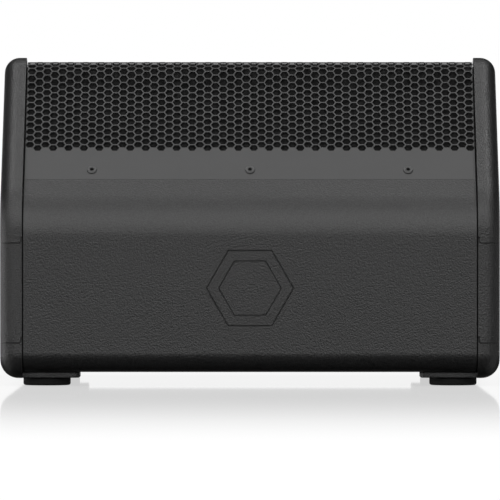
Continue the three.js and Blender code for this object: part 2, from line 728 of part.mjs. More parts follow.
const BOARD_FACE = 176;
addPiece('amp_board', box([BOARD_FACE, -150, 58], [BOARD_FACE + 1.6, 30, 130]), boardGreen);

function heatSink() {
  let sink = box([171.5, -150, 60], [BOARD_FACE - GAP, -72, 128]);
  for (let fin = 0; fin < 9; fin += 1) {
    const y = -150 + fin * 9.4;
    sink = sink.add(box([146, y, 60], [172, y + 2.8, 128]));
  }
  return sink;
}

addPiece('heat_sink', heatSink(), aluminium);

const toroid = turned([
  [10, 2], [14, 0], [28, 0], [32, 4], [32, 30], [28, 34], [14, 34], [10, 32], [10, 2],
], 20);
addPiece('power_transformer', alongX(toroid, BOARD_FACE - GAP - 34, -5, ROW), copper);

[78, 110].forEach((z, i) => {
  const can = rod(11.5, 0, 35, 16);
  addPiece(`smoothing_cap_${i + 1}`, alongX(can, BOARD_FACE - GAP - 35, -54, z), capSleeve);
});

// ---------------------------------------------------------------- baffle and loudspeaker

// The loudspeaker's own frame: on the baffle's front face, Z pointing at the listener.
const driver = new THREE.Group();
const driverSeat = body.at(ridgeEnd + DRIVER_RUN, BAFFLE_TOP);
driver.position.set(0, driverSeat.x, driverSeat.y);
driver.rotation.x = -THREE.MathUtils.degToRad(BAFFLE_ANGLE);
wedge.add(driver);

const CUT_OUT = 142;

function baffleBoard() {
  let board = box(
    [-BODY_HALF, 1 - DRIVER_RUN, -BAFFLE_THICK], [BODY_HALF, BAFFLE_RUN - DRIVER_RUN, 0]);
  board = board.subtract(rod(CUT_OUT, -30, 10, 40));
  [-PORT_X, PORT_X].forEach((x) => {
    board = board.subtract(rod(PORT_BORE + PORT_WALL + GAP, -30, 10, 24).translate([x, PORT_Y, 0]));
  });
  return board;
}

addPiece('baffle_board', baffleBoard(), plywood, driver);

const portTube = turned([
  [PORT_BORE, -60], [PORT_BORE + PORT_WALL, -60], [PORT_BORE + PORT_WALL, GAP], [34, GAP], [34, 2.8],
  [PORT_BORE, 2.8], [PORT_BORE, -60],
]);
addPiece('port_tube_left', portTube.translate([-PORT_X, PORT_Y, 0]), blackPlastic, driver);
addPiece('port_tube_right', portTube.translate([PORT_X, PORT_Y, 0]), blackPlastic, driver);

function wooferBasket() {
  let basket = turned([
    [155, 5], [155, GAP], [141.5, GAP], [141.5, -8], [75, -64.5], [63, -64.5], [63, -85], [28.5, -85],
    [28.5, -82], [60, -82], [60, -61.5], [73.5, -61.5], [137, -7], [137, 5], [155, 5],
  ], 28);
  for (let spoke = 0; spoke < 4; spoke += 1) {
    const window = box([84, -40, -56], [126, 40, -17]).rotate([0, 0, spoke * 90 + 45]);
    basket = basket.subtract(window);
  }
  return basket;
}

addPiece('woofer_basket', wooferBasket(), castAlloy, driver);

const surround = turned([
  [112, 5], [119.5, 5], [123, 11], [128.5, 12.6], [134, 11], [137.5, 5.4], [145, 5.4],
  [145, 6.2], [138.2, 6.2], [134.6, 11.8], [128.5, 13.4], [122.4, 11.8], [118.9, 5.8], [112, 5.8], [112, 5],
], 24);
addPiece('woofer_surround', surround, rubberBlack, driver);

const cone = turned([
  [118, 4.6], [80, -17], [45, -39], [26.8, -55.5], [26.8, -57.7], [45, -41.2], [80, -19.2],
  [118, 2.4], [118, 4.6],
], 28);
addPiece('woofer_cone', cone, paperCone, driver);
addPiece('voice_coil', tube(25.7, 26.4, -96, -50, 24), copper, driver);

addPiece('woofer_spider', tube(28.2, 72, -60.9, -59.2), clothAmber, driver);

addPiece('top_plate', tube(27.2, 72, -93.3, -85.3, 28), zincSteel, driver);
addPiece('magnet_ring', tube(36, 70, -112, -93.6, 28), ferrite, driver);
addPiece('pole_yoke', turned([
  [12.8, -85], [25, -85], [25, -112.3], [72, -112.3], [72, -119], [69, -122], [12.8, -122], [12.8, -85],
], 28), zincSteel, driver);

const horn = turned([
  [12.8, -84.7], [13.4, -62], [22, -37], [36, -20], [50, -11], [52, -12.8], [38, -22.6],
  [22, -43], [17, -62], [17, -81], [21, -81], [21, -84.7], [12.8, -84.7],
], 20);
addPiece('hf_horn', horn, blackPlastic, driver);
addPiece('hf_housing', turned([
  [0, -155], [40, -155], [44, -151], [44, -122.3], [12.8, -122.3], [12.8, -132], [27.5, -132],
  [27.5, -146], [0, -146],
], 24), castAlloy, driver);
addPiece('hf_diaphragm', turned([
  [0, -136.4], [12, -137.6], [22, -141], [26.5, -141], [26.5, -141.6], [21.8, -141.6],
  [11.8, -138.2], [0, -137],
], 20), titanium, driver);

// ---------------------------------------------------------------- wiring and lining

// A lead swept along its route, an eight-sided section.
function lead(points, radius, steps) {
  const route = new THREE.CatmullRomCurve3(points.map((point) => new THREE.Vector3(...point)));
  const section = new THREE.Shape();
  section.absarc(0, 0, radius, 0, 2 * Math.PI);
  return solid(new THREE.ExtrudeGeometry(section, { steps, extrudePath: route, curveSegments: 4 }));
}

addPiece('woofer_lead', lead([
  [172, 20, 133], [168, 30, 146], [152, 37, 156], [135, 34, 156], [122, 28, 152],
], 2.2, 16), cableBlack);
addPiece('hf_lead', lead([
  [172, -45, 133], [160, -52, 142], [130, -58, 128], [90, -50, 92], [56, -40, 77],
], 1.8, 20), cableBlack);

const FELT_THICK = 8.4;
const feltFace = -HALF_DEPTH + WALL + 2 * GAP;
addPiece('damping_felt', box([-165, feltFace, 36], [165, feltFace + FELT_THICK, 150]), feltGrey);

export default wedge;
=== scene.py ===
"""The looks of the stage monitor wedge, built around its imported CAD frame.

Shapes are worked out in millimetres in the frame's own axes (+X right of the emblem
panel, +Y towards the performer, +Z up) and scaled to metres when a piece is finished.
"""

import json
import math

import bmesh
import bpy
from mathutils import Matrix, Vector, noise


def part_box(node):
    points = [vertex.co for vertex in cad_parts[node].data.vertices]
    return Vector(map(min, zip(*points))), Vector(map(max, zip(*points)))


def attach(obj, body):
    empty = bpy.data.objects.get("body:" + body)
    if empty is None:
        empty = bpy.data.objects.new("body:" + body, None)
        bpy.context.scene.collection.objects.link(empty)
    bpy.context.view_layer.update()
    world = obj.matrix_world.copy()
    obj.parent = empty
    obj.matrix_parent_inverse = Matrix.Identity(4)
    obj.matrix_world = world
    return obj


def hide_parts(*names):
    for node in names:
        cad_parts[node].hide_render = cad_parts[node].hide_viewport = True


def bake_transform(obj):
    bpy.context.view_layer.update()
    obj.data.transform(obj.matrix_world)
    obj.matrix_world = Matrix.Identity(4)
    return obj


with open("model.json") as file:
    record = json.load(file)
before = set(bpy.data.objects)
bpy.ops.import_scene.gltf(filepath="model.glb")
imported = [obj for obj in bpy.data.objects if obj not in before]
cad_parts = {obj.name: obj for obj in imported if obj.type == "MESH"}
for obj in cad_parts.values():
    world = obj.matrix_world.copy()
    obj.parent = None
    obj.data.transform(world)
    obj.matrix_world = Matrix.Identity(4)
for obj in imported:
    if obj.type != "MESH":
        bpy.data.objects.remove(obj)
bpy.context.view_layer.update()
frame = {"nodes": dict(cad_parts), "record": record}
MM = 0.001
GAP = 0.3                       # between neighbours

# ------------------------------------------------------------------ sizes from the frame


def box(node):
    """A CAD node's lowest and highest corners, in millimetres."""
    low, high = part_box(node)
    return low / MM, high / MM


def span(node, axis):
    """A CAD node's lowest and highest coordinate on one axis, in millimetres."""
    low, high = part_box(node)
    return low[axis] / MM, high[axis] / MM


# the cabinet, across and in its side profile
SEAM_GAP = 1.15
PANEL_TRIM = 0.2
BODY_HALF = span("rear_panel", 0)[1] - PANEL_TRIM
CHEEK_OUTER = span("right_cheek", 0)[1]
CHEEK_INNER = BODY_HALF + SEAM_GAP
HALF_DEPTH = -span("rear_panel", 1)[0]
BODY_BOTTOM = span("bottom_panel", 2)[0]
CHEEK_BOTTOM = span("right_cheek", 2)[0]
NEAR_ANGLE = 47.8
BAFFLE_ANGLE = 40.0
CHEEK_PROUD = 5.0
CHEEK_FILLET = 15.0
CHEEK_BOTTOM_FILLET = 17.6
# the cabinet's thicknesses: emblem panel, near slope, base, and behind the far screw strip
WALL, SLOPE_WALL, FLOOR_WALL, STRIP_WALL = 14.0, 16.0, 12.0, 10.0
BAFFLE_TOP = 24.0               # the baffle board's face, under the profile
PAST_RIDGE = 10.0               # how far the near shell runs past the ridge
LIP_RUN = 22.0                  # how far the lip's inside runs past the grille's far edge
# stretches along the profile: the bare slope, the grille and its two plain strips
TEXTURED_SLOPE = 19.7
NEAR_STRIP = 37.0
FAR_STRIP = 30.0
GRILLE_RUN = 323.0              # from the end of the ridge's bend to the grille's far edge
SCREW_INSET = 12.0              # from the grille's edge
SCREW_X = (-153.6, 0.0, 153.6)
PILOT_RADIUS = 2.9
# the grille and what is under it, as depths below the profile
GRILLE_SKIN = 1.2
STRIP_SEAT = 1.8
FOAM_FACE = 1.9
FOAM_BOTTOM = 6.8
PAINT_GAP = 0.1
HEX_PITCH = 8.69
HEX_WEB = 1.2
HEX_COLUMNS = 58
# two hexagonal grooves in the emblem panel: radius, width and depth of each
EMBLEM_Z = 94.6
EMBLEM_GROOVES = ((42.0, 1.6, 3.5), (30.24, 1.3, 3.0))
# the loudspeaker: how far its middle is from the ridge, and its ports from its middle
DRIVER_RUN = 168.0
PORT_X, PORT_Y = 180.0, 90.0

# ------------------------------------------------------------------ meshes


def from_points(name, points, faces):
    mesh = bpy.data.meshes.new(name)
    mesh.from_pydata([tuple(p) for p in points], [], faces)
    mesh.validate()
    obj = bpy.data.objects.new(name, mesh)
    bpy.context.scene.collection.objects.link(obj)
    return obj


def outward(obj):
    """Turns every face outwards."""
    work = bmesh.new()
    work.from_mesh(obj.data)
    bmesh.ops.remove_doubles(work, verts=work.verts, dist=1e-4)
    bmesh.ops.recalc_face_normals(work, faces=work.faces)
    work.to_mesh(obj.data)
    work.free()
    return obj


def baked(obj):
    """Applies the modifiers."""
    graph = bpy.context.evaluated_depsgraph_get()
    mesh = bpy.data.meshes.new_from_object(obj.evaluated_get(graph))
    obj.modifiers.clear()
    obj.data = mesh
    return obj


def combined(obj, operation, others):
    """Cuts other objects from one, or joins them to it, and deletes them."""
    for other in others:
        modifier = obj.modifiers.new("cut", "BOOLEAN")
        modifier.operation = operation
        modifier.solver = "EXACT"
        modifier.object = other
        baked(obj)
        bpy.data.objects.remove(other)
    return obj


def cut(obj, *others):
    return combined(obj, "DIFFERENCE", others)


def joined(obj, *others):
    return combined(obj, "UNION", others)


def bevelled(obj, width, segments=2, angle=40):
    modifier = obj.modifiers.new("bevel", "BEVEL")
    modifier.width = width
    modifier.segments = segments
    modifier.limit_method = "ANGLE"
    modifier.angle_limit = math.radians(angle)
    return baked(obj)


def loft(name, rings, wrapped=False):
    """Skins a row of rings, each a loop of as many points; wrapped joins the last to the first."""
    count = len(rings[0])
    points = [p for ring in rings for p in ring]
    faces = []
    for r in range(len(rings) - (0 if wrapped else 1)):
        after = (r + 1) % len(rings)
        for i in range(count):
            j = (i + 1) % count
            faces.append((r * count + i, r * count + j, after * count + j, after * count + i))
    if not wrapped:
        faces.append(tuple(range(count)))
        faces.append(tuple((len(rings) - 1) * count + i for i in range(count)))
    return outward(from_points(name, points, faces))


def extrusion(name, outline, low, high, axis):
    """An outline drawn in the two other axes, in order, pushed along one axis."""
    def point(pair, depth):
        place = list(pair)
        place.insert(axis, depth)
        return place
    return loft(name, [[point(pair, low) for pair in outline], [point(pair, high) for pair in outline]])


def turned(name, profile, segments, matrix=None):
    """A profile of (radius, height) turned about Z; it ends on the axis or closes on itself."""
    closed = Vector(profile[0]) == Vector(profile[-1])
    rows = profile[:-1] if closed else profile
    points, faces, starts = [], [], []
    for radius, height in rows:
        starts.append(len(points))
        if radius < 1e-6:
            points.append((0, 0, height))
            continue
        for i in range(segments):
            angle = 2 * math.pi * i / segments
            points.append((radius * math.cos(angle), radius * math.sin(angle), height))
    pairs = list(zip(range(len(rows)), list(range(1, len(rows))) + [0]))
    for a, b in pairs if closed else pairs[:-1]:
        for i in range(segments):
            j = (i + 1) % segments
            corners = [starts[a]] if rows[a][0] < 1e-6 else [starts[a] + i, starts[a] + j]
            corners += [starts[b]] if rows[b][0] < 1e-6 else [starts[b] + j, starts[b] + i]
            if len(corners) > 2:
                faces.append(tuple(corners))
    obj = outward(from_points(name, points, faces))
    if matrix is not None:
        obj.data.transform(matrix)
    return obj


def rounded_rectangle(x0, y0, x1, y1, radius, steps=6):
    corners = ((x1 - radius, y0 + radius, -90), (x1 - radius, y1 - radius, 0),
               (x0 + radius, y1 - radius, 90), (x0 + radius, y0 + radius, 180))
    outline = []
    for x, y, start in corners:
        for i in range(steps + 1):
            angle = math.radians(start + 90 * i / steps)
            outline.append((x + radius * math.cos(angle), y + radius * math.sin(angle)))
    return outline


def arc(centre_x, centre_y, radius, start, end, steps=5):
    """Points on an arc; 0 degrees is towards the second coordinate and 90 towards the first."""
    angles = [math.radians(start + (end - start) * i / steps) for i in range(steps + 1)]
    return [(centre_x + radius * math.sin(a), centre_y + radius * math.cos(a)) for a in angles]


def block(name, low, high):
    return extrusion(name, [(low[1], low[2]), (high[1], low[2]), (high[1], high[2]), (low[1], high[2])],
                     low[0], high[0], 0)


def facing_x(x, y, z):
    """Takes what is made about Z to a point, its height running along +X."""
    return Matrix.Translation((x, y, z)) @ Matrix.Rotation(math.radians(90), 4, "Y")


def rod(name, radius, low, high, matrix, segments):
    return turned(name, [(0, low), (radius, low), (radius, high), (0, high)], segments, matrix)


def smoothed(obj, angle):
    """Smooth shading, with edges sharper than the angle left crisp and broad faces kept flat."""
    work = bmesh.new()
    work.from_mesh(obj.data)
    limit = math.radians(angle)
    for face in work.faces:
        face.smooth = True
    for edge in work.edges:
        edge.smooth = len(edge.link_faces) == 2 and edge.calc_face_angle(0) < limit
    work.to_mesh(obj.data)
    work.free()
    weighted = obj.modifiers.new("weighted", "WEIGHTED_NORMAL")
    weighted.keep_sharp = True
    weighted.weight = 80
    baked(obj)


def flipped(obj):
    """Turns a piece still in millimetres over to the other side of the cabinet."""
    obj.data.transform(Matrix.Scale(-1, 4, (1, 0, 0)))
    obj.data.flip_normals()
    return obj


def mirrored(obj, name):
    copy = bpy.data.objects.new(name, obj.data.copy())
    bpy.context.scene.collection.objects.link(copy)
    return flipped(copy)


# ------------------------------------------------------------------ the side profile


class Outline:
    """Straight runs joined by round corners, clockwise seen from +X, by distance along it."""

    def __init__(self, corners):
        self.runs, self.stations = [], {}
        bends = [self.bend(corners[i - 1], corner, corners[(i + 1) % len(corners)])
                 for i, corner in enumerate(corners)]
        length = 0.0
        for i, bend in enumerate(bends):
            run = bend["start"] - bends[i - 1]["end"]
            self.runs.append({"start": length, "length": run.length, "from": bends[i - 1]["end"],
                              "into": bend["into"], "bend": None})
            length += run.length
            self.stations[bend["name"]] = (length, length + bend["length"])
            self.runs.append({"start": length, "length": bend["length"], "bend": bend})
            length += bend["length"]
        self.length = length

    @staticmethod
    def bend(before, corner, after):
        name, y, z, radius = corner
        point = Vector((y, z))
        into = (point - Vector(before[1:3])).normalized()
        out = (Vector(after[1:3]) - point).normalized()
        turn = math.atan2(into.x * out.y - into.y * out.x, into.dot(out))
        reach = radius * math.tan(abs(turn) / 2)
        return {"name": name, "into": into, "turn": turn, "radius": radius,
                "start": point - into * reach, "end": point + out * reach,
                "length": radius * abs(turn)}

    def at(self, station, inset=0.0):
        """The point (y, z) at a distance along the outline, and a depth under it."""
        station %= self.length
        run = [one for one in self.runs if one["start"] <= station + 1e-6][-1]
        travelled = station - run["start"]
        bend = run["bend"]
        if bend is None:
            way = run["into"]
            return run["from"] + way * travelled + Vector((way.y, -way.x)) * inset
        side = -1 if bend["turn"] > 0 else 1
        into = bend["into"]
        centre = bend["start"] + Vector((into.y, -into.x)) * side * bend["radius"]
        angle = bend["turn"] * travelled / bend["length"]
        way = Vector((into.x * math.cos(angle) - into.y * math.sin(angle),
                      into.x * math.sin(angle) + into.y * math.cos(angle)))
        return centre - Vector((way.y, -way.x)) * (side * bend["radius"] - inset)

    def between(self, start, end, step=3.0):
        """Stations from start to end, with one at every step degrees of a bend."""
        found = [start]
        for lap in (0, 1):
            for run in self.runs:
                turn = math.degrees(abs(run["bend"]["turn"])) if run["bend"] else 0
                steps = max(1, math.ceil(turn / step))
                for i in range(steps):
                    station = run["start"] + run["length"] * i / steps + lap * self.length
                    if start + 0.01 < station < end - 0.01:
                        found.append(station)
        return found + [end]

    def path(self, start, end, inset):
        return [self.at(station, inset) for station in self.between(start, end)]


def rise(degrees):
    return math.tan(math.radians(degrees))


def on_baffle(y):
    """The height of the loudspeaker slope's line at y."""
    return RIDGE_Z - (y - RIDGE_Y) * rise(BAFFLE_ANGLE)


# corners of the profiles: (name, y, z, radius)
SHOULDER_Z = 168.2
RIDGE_Y, RIDGE_Z = -82.5, 326.8
LIP_Z = on_baffle(HALF_DEPTH)
NEAR_CORNERS = [("heel", -HALF_DEPTH, BODY_BOTTOM, 19.0), ("shoulder", -HALF_DEPTH, SHOULDER_Z, 60.5),
                ("kink", -108.0, 291.8, 60.0)]
FAR_CORNERS = [("lip", HALF_DEPTH, LIP_Z, 30.0), ("toe", HALF_DEPTH, BODY_BOTTOM, 19.0)]
BODY = Outline(NEAR_CORNERS + [("ridge", RIDGE_Y, RIDGE_Z, 26.7)] + FAR_CORNERS)
CHEEK_SHOULDER_Z = SHOULDER_Z + CHEEK_PROUD / math.cos(math.radians(NEAR_ANGLE))
CHEEK_LIP_Z = LIP_Z + CHEEK_PROUD / math.cos(math.radians(BAFFLE_ANGLE))
CHEEK_RIDGE_RUN = ((CHEEK_LIP_Z + 2 * HALF_DEPTH * rise(BAFFLE_ANGLE) - CHEEK_SHOULDER_Z)
                   / (rise(NEAR_ANGLE) + rise(BAFFLE_ANGLE)))
CHEEK = Outline([
    ("heel", -HALF_DEPTH, CHEEK_BOTTOM, 25.0), ("shoulder", -HALF_DEPTH, CHEEK_SHOULDER_Z, 65.0),
    ("ridge", CHEEK_RIDGE_RUN - HALF_DEPTH, CHEEK_SHOULDER_Z + CHEEK_RIDGE_RUN * rise(NEAR_ANGLE), 26.5),
    ("lip", HALF_DEPTH, CHEEK_LIP_Z, 35.0), ("toe", HALF_DEPTH, CHEEK_BOTTOM, 25.0),
])
# The grille leaves the shell under it above the kink: a gentle brow, then one tight fold.
FAR_BEND_Y = -60.5
SKIN = Outline(NEAR_CORNERS
               + [("brow", -97.7, 309.0, 12.0), ("fold", -82.6, 316.9, 2.4),
                  ("far_bend", FAR_BEND_Y, on_baffle(FAR_BEND_Y), 30.0)] + FAR_CORNERS)
LONGER = SKIN.stations["lip"][0] - BODY.stations["lip"][0]
GRILLE_START = BODY.stations["shoulder"][1] + TEXTURED_SLOPE
GRILLE_END = BODY.stations["ridge"][1] + GRILLE_RUN
NEAR_STRIP_END = GRILLE_START + NEAR_STRIP
FAR_STRIP_START = GRILLE_END - FAR_STRIP
SKIN_END, SKIN_FAR_STRIP = GRILLE_END + LONGER, FAR_STRIP_START + LONGER


def on_outline(station, x):
    """Takes what is made about Z to the cabinet's surface, Z pointing outwards."""
    foot = BODY.at(station)
    out = BODY.at(station, -1.0) - foot
    return Matrix.Translation((x, foot.x, foot.y)) @ Matrix.Rotation(math.atan2(-out.x, out.y), 4, "X")


# takes what is made about Z to the loudspeaker's seat, Z pointing out of the slope
DRIVER_SEAT = BODY.at(BODY.stations["ridge"][1] + DRIVER_RUN, BAFFLE_TOP)
DRIVER = (Matrix.Translation((0, DRIVER_SEAT.x, DRIVER_SEAT.y))
          @ Matrix.Rotation(-math.radians(BAFFLE_ANGLE), 4, "X"))

# ------------------------------------------------------------------ materials


class Tree:
    """A short way to write a node tree; an input's value is a plain one or another node's output."""

    def __init__(self, tree):
        self.links, self.nodes = tree.links, tree.nodes

    def put(self, value, socket):
        if isinstance(value, bpy.types.NodeSocket):
            self.links.new(value, socket)
        else:
            socket.default_value = value

    def add(self, kind, inputs=None, **settings):
        node = self.nodes.new(kind)
        for key, value in settings.items():
            setattr(node, key, value)
        for socket, value in (inputs or {}).items():
            self.put(value, node.inputs[socket])
        return node

    def math(self, operation, *values):
        node = self.add("ShaderNodeMath", dict(enumerate(values)), operation=operation)
        return node.outputs["Value"]

    def ramp(self, source, low, high, start=0.0, end=1.0, easing="LINEAR"):
        """Maps start..end to low..high."""
        ends = {"From Min": start, "From Max": end, "To Min": low, "To Max": high}
        node = self.add("ShaderNodeMapRange", {"Value": source, **ends}, interpolation_type=easing)
        return node.outputs["Result"]


class Finish(Tree):
    """A material: one Principled shader, and what is linked to it."""

    def __init__(self, name, color, roughness, sockets=None):
        self.material = bpy.data.materials.new(name)
        self.material.use_nodes = True
        super().__init__(self.material.node_tree)
        self.shader = self.nodes["Principled BSDF"].inputs
        for socket, value in {"Base Color": (*color, 1), "Roughness": roughness, **(sockets or {})}.items():
            self.put(value, self.shader[socket])
        self.place = self.add("ShaderNodeTexCoord").outputs["Object"]

    def noise(self, scale, detail=3.0, roughness=0.5, place=None):
        node = self.add("ShaderNodeTexNoise", {"Scale": scale, "Detail": detail, "Roughness": roughness,
                                               "Vector": place or self.place})
        return node.outputs["Fac"]

    def voronoi(self, scale, feature="F1"):
        node = self.add("ShaderNodeTexVoronoi", {"Scale": scale, "Vector": self.place}, feature=feature)
        return node.outputs["Distance"]

    def wave(self, scale, direction, distortion=0.0):
        node = self.add("ShaderNodeTexWave", {"Scale": scale, "Distortion": distortion,
                                              "Vector": self.place}, bands_direction=direction)
        return node.outputs["Fac"]

    def colors(self, source, stops):
        """A colour ramp over a 0..1 source; stops are (place, (r, g, b))."""
        node = self.add("ShaderNodeValToRGB", {"Fac": source})
        for element, (position, color) in zip(node.color_ramp.elements, stops):
            element.position = position
            element.color = (*color, 1)
        self.put(node.outputs["Color"], self.shader["Base Color"])

    def rough(self, source, low, high):
        self.put(self.ramp(source, low, high), self.shader["Roughness"])

    def bump(self, *layers):
        """Layers of (height source, depth in metres), stacked into the shader's normal."""
        below = {}
        for height, depth in layers:
            node = self.add("ShaderNodeBump", {"Strength": 1.0, "Distance": depth, "Height": height,
                                               **below})
            below = {"Normal": node.outputs["Normal"]}
        self.put(node.outputs["Normal"], self.shader["Normal"])


def shade(color, factor):
    return tuple(min(1.0, channel * factor) for channel in color)


def surface(name, color, roughness, mottle, grain, sockets=None):
    """Plain stuff: mottle is (scale, colour change) and grain is (scale, depth in metres)."""
    nodes = Finish(name, color, roughness, sockets)
    scale, amount = mottle
    cloud = nodes.noise(scale, 4)
    nodes.colors(cloud, [(0.3, shade(color, 1 - amount)), (0.7, shade(color, 1 + amount))])
    nodes.rough(nodes.noise(scale * 3, 3), roughness * 0.88, min(1.0, roughness * 1.12))
    nodes.bump((nodes.noise(grain[0], 2), grain[1]))
    return nodes.material


def textured(name, color, roughness, pebble, depth):
    """Black paint or moulding with a fine pebble grain, like orange peel."""
    nodes = Finish(name, color, roughness)
    swirl = nodes.noise(pebble, 1, 0.5)
    fine = nodes.noise(pebble * 1.7, 2, 0.6)
    beads = nodes.voronoi(pebble * 1.1, "SMOOTH_F1")
    speckle = nodes.noise(pebble * 1.5, 2, 0.7)
    nodes.colors(speckle, [(0.3, shade(color, 0.25)), (0.7, shade(color, 1.9))])
    nodes.rough(swirl, roughness * 0.75, roughness * 1.25)
    nodes.bump((swirl, depth * 0.5), (beads, -depth * 0.5), (fine, depth))
    return nodes.material


def brushed(name, color, roughness, stretch):
    """Bare metal with fine lines along one axis."""
    nodes = Finish(name, color, roughness, {"Metallic": 1.0})
    mapping = nodes.add("ShaderNodeMapping", {"Scale": stretch, "Vector": nodes.place})
    lines = nodes.noise(600, 2, 0.5, mapping.outputs["Vector"])
    nodes.colors(lines, [(0.3, shade(color, 0.88)), (0.7, shade(color, 1.08))])
    nodes.rough(lines, roughness * 0.8, roughness * 1.25)
    nodes.bump((lines, 0.00001))
    return nodes.material


def foam_material(name):
    nodes = Finish(name, (0.006, 0.006, 0.006), 1.0, {"Specular IOR Level": 0.1})
    pores = nodes.voronoi(900)
    clumps = nodes.noise(260, 4, 0.65)
    nodes.colors(clumps, [(0.35, (0.003, 0.003, 0.003)), (0.7, (0.014, 0.014, 0.014))])
    nodes.bump((pores, 0.0005), (clumps, 0.0006))
    return nodes.material


def plywood_material(name):
    nodes = Finish(name, (0.045, 0.04, 0.036), 0.7)
    grain = nodes.wave(22, "Y", distortion=6)
    nodes.colors(grain, [(0.2, (0.03, 0.027, 0.024)), (0.8, (0.058, 0.05, 0.043))])
    nodes.rough(grain, 0.62, 0.8)
    nodes.bump((grain, 0.00008), (nodes.noise(700, 3), 0.00005))
    return nodes.material


def board_material(name):
    nodes = Finish(name, (0.02, 0.09, 0.045), 0.4)
    tracks = nodes.math("GREATER_THAN", nodes.voronoi(160, "DISTANCE_TO_EDGE"), 0.09)
    nodes.colors(tracks, [(0.0, (0.045, 0.17, 0.08)), (1.0, (0.014, 0.07, 0.034))])
    nodes.bump((tracks, 0.00004))
    return nodes.material


def winding_material(name):
    nodes = Finish(name, (0.55, 0.24, 0.12), 0.32, {"Metallic": 1.0})
    turns = nodes.wave(420, "Y", distortion=1.2)
    nodes.colors(turns, [(0.1, (0.22, 0.08, 0.035)), (0.6, (0.62, 0.28, 0.14))])
    nodes.bump((turns, 0.0002))
    return nodes.material


def cloth_material(name, dark, light, threads):
    nodes = Finish(name, light, 0.9, {"Sheen Weight": 0.3})
    weave = nodes.math("MULTIPLY", nodes.wave(threads, "X"), nodes.wave(threads, "Y"))
    nodes.colors(weave, [(0.1, dark), (0.6, light)])
    nodes.bump((weave, 0.0002), (nodes.noise(1500, 3), 0.0001))
    return nodes.material


def cone_material(name):
    nodes = Finish(name, (0.016, 0.016, 0.017), 0.75)
    fibres = nodes.noise(420, 6, 0.7)
    nodes.colors(fibres, [(0.3, (0.011, 0.011, 0.012)), (0.7, (0.024, 0.024, 0.025))])
    nodes.bump((fibres, 0.00025))
    return nodes.material


def rubber_material(name, color, roughness, sockets=None):
    nodes = Finish(name, color, roughness, sockets)
    dust = nodes.noise(90, 5, 0.6)
    nodes.colors(dust, [(0.35, shade(color, 0.85)), (0.75, shade(color, 1.3))])
    nodes.rough(dust, roughness * 0.9, min(1, roughness * 1.15))
    nodes.bump((nodes.noise(1100, 3), 0.00006))
    return nodes.material


def lens_material(name, color):
    nodes = Finish(name, color, 0.22, {"Transmission Weight": 0.25})
    core = nodes.noise(500, 2)
    nodes.colors(core, [(0.3, shade(color, 0.8)), (0.7, shade(color, 1.15))])
    nodes.bump((core, 0.00002))
    return nodes.material


# each of the record's material slots: what makes it, and with what
RECIPES = {
    "cabinet_paint": (textured, (0.0115, 0.0115, 0.0116), 0.35, 560, 0.0003),
    "cheek_moulding": (textured, (0.0115, 0.0115, 0.0116), 0.35, 560, 0.00036),
    "grille_paint": (surface, (0.034, 0.034, 0.0342), 0.42, (40, 0.03), (1600, 0.000012)),
    "foam": (foam_material,),
    "black_steel": (surface, (0.016, 0.016, 0.017), 0.42, (60, 0.1), (1800, 0.00002)),
    "rubber_feet": (rubber_material, (0.006, 0.006, 0.006), 0.78, {"Specular IOR Level": 0.25}),
    "grip_rubber": (rubber_material, (0.013, 0.013, 0.014), 0.65),
    "plywood": (plywood_material,),
    "cast_alloy": (surface, (0.04, 0.04, 0.042), 0.5, (80, 0.15), (700, 0.0001), {"Metallic": 0.4}),
    "cone_paper": (cone_material,),
    "spider_cloth": (cloth_material, (0.16, 0.08, 0.02), (0.42, 0.24, 0.08), 500),
    "copper_wire": (winding_material,),
    "zinc_steel": (brushed, (0.56, 0.57, 0.58), 0.32, (1, 1, 12)),
    "ferrite": (surface, (0.03, 0.031, 0.033), 0.6, (300, 0.3), (1200, 0.0001)),
    "black_plastic": (surface, (0.0105, 0.0105, 0.0115), 0.45, (90, 0.08), (1500, 0.00005)),
    "dome_metal": (brushed, (0.5, 0.5, 0.51), 0.3, (8, 1, 1)),
    "circuit_board": (board_material,),
    "bare_aluminium": (brushed, (0.6, 0.61, 0.62), 0.34, (1, 1, 9)),
    "capacitor_sleeve": (surface, (0.015, 0.022, 0.045), 0.3, (200, 0.1), (900, 0.00002)),
    "knob_plastic": (surface, (0.013, 0.013, 0.014), 0.48, (120, 0.08), (1800, 0.00004)),
    "green_lens": (lens_material, (0.06, 0.45, 0.11)),
    "red_lens": (lens_material, (0.5, 0.05, 0.03)),
    "grey_button": (surface, (0.22, 0.22, 0.23), 0.45, (150, 0.06), (1800, 0.00003)),
    "cable_sheath": (rubber_material, (0.010, 0.010, 0.010), 0.55),
    "felt": (cloth_material, (0.05, 0.05, 0.05), (0.13, 0.13, 0.13), 900),
}
MATERIALS = {name: recipe(name, *values) for name, (recipe, *values) in RECIPES.items()}
# looks that small pieces have instead of their slot's
PANEL_COAT = surface("panel_coat", (0.03, 0.03, 0.032), 0.38, (60, 0.08), (1400, 0.00003))
MARKING = surface("white_marking", (0.62, 0.62, 0.60), 0.5, (300, 0.04), (1500, 0.00001))
# painted shade: near-black and barely glossy, for the floor of each grille screw's hex socket, where there
# would be only shade
SOCKET_SHADE = surface("socket_painted_shade", (0.003, 0.003, 0.003), 0.7, (300, 0.1), (1500, 0.00002),
                      {"Specular IOR Level": 0.08})

for entry in frame["record"]["subparts"]:
    node = frame["nodes"][entry["node"]]
    node.data.materials.clear()
    node.data.materials.append(MATERIALS[entry["material_slot"]])
    node.data.polygons.foreach_set("use_smooth", [False] * len(node.data.polygons))


def piece(obj, slot, stands_for=(), body="cabinet", angle=35, material=None, ride=True):
    """Scales a piece to metres, shades it, gives it its material and puts it on its body."""
    obj.data.transform(Matrix.Scale(MM, 4))
    smoothed(obj, angle)
    obj.data.materials.clear()
    obj.data.materials.append(material or MATERIALS[slot])
    if ride:
        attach(obj, body)
    if stands_for:
        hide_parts(*stands_for)
    return obj


# ------------------------------------------------------------------ cabinet panels


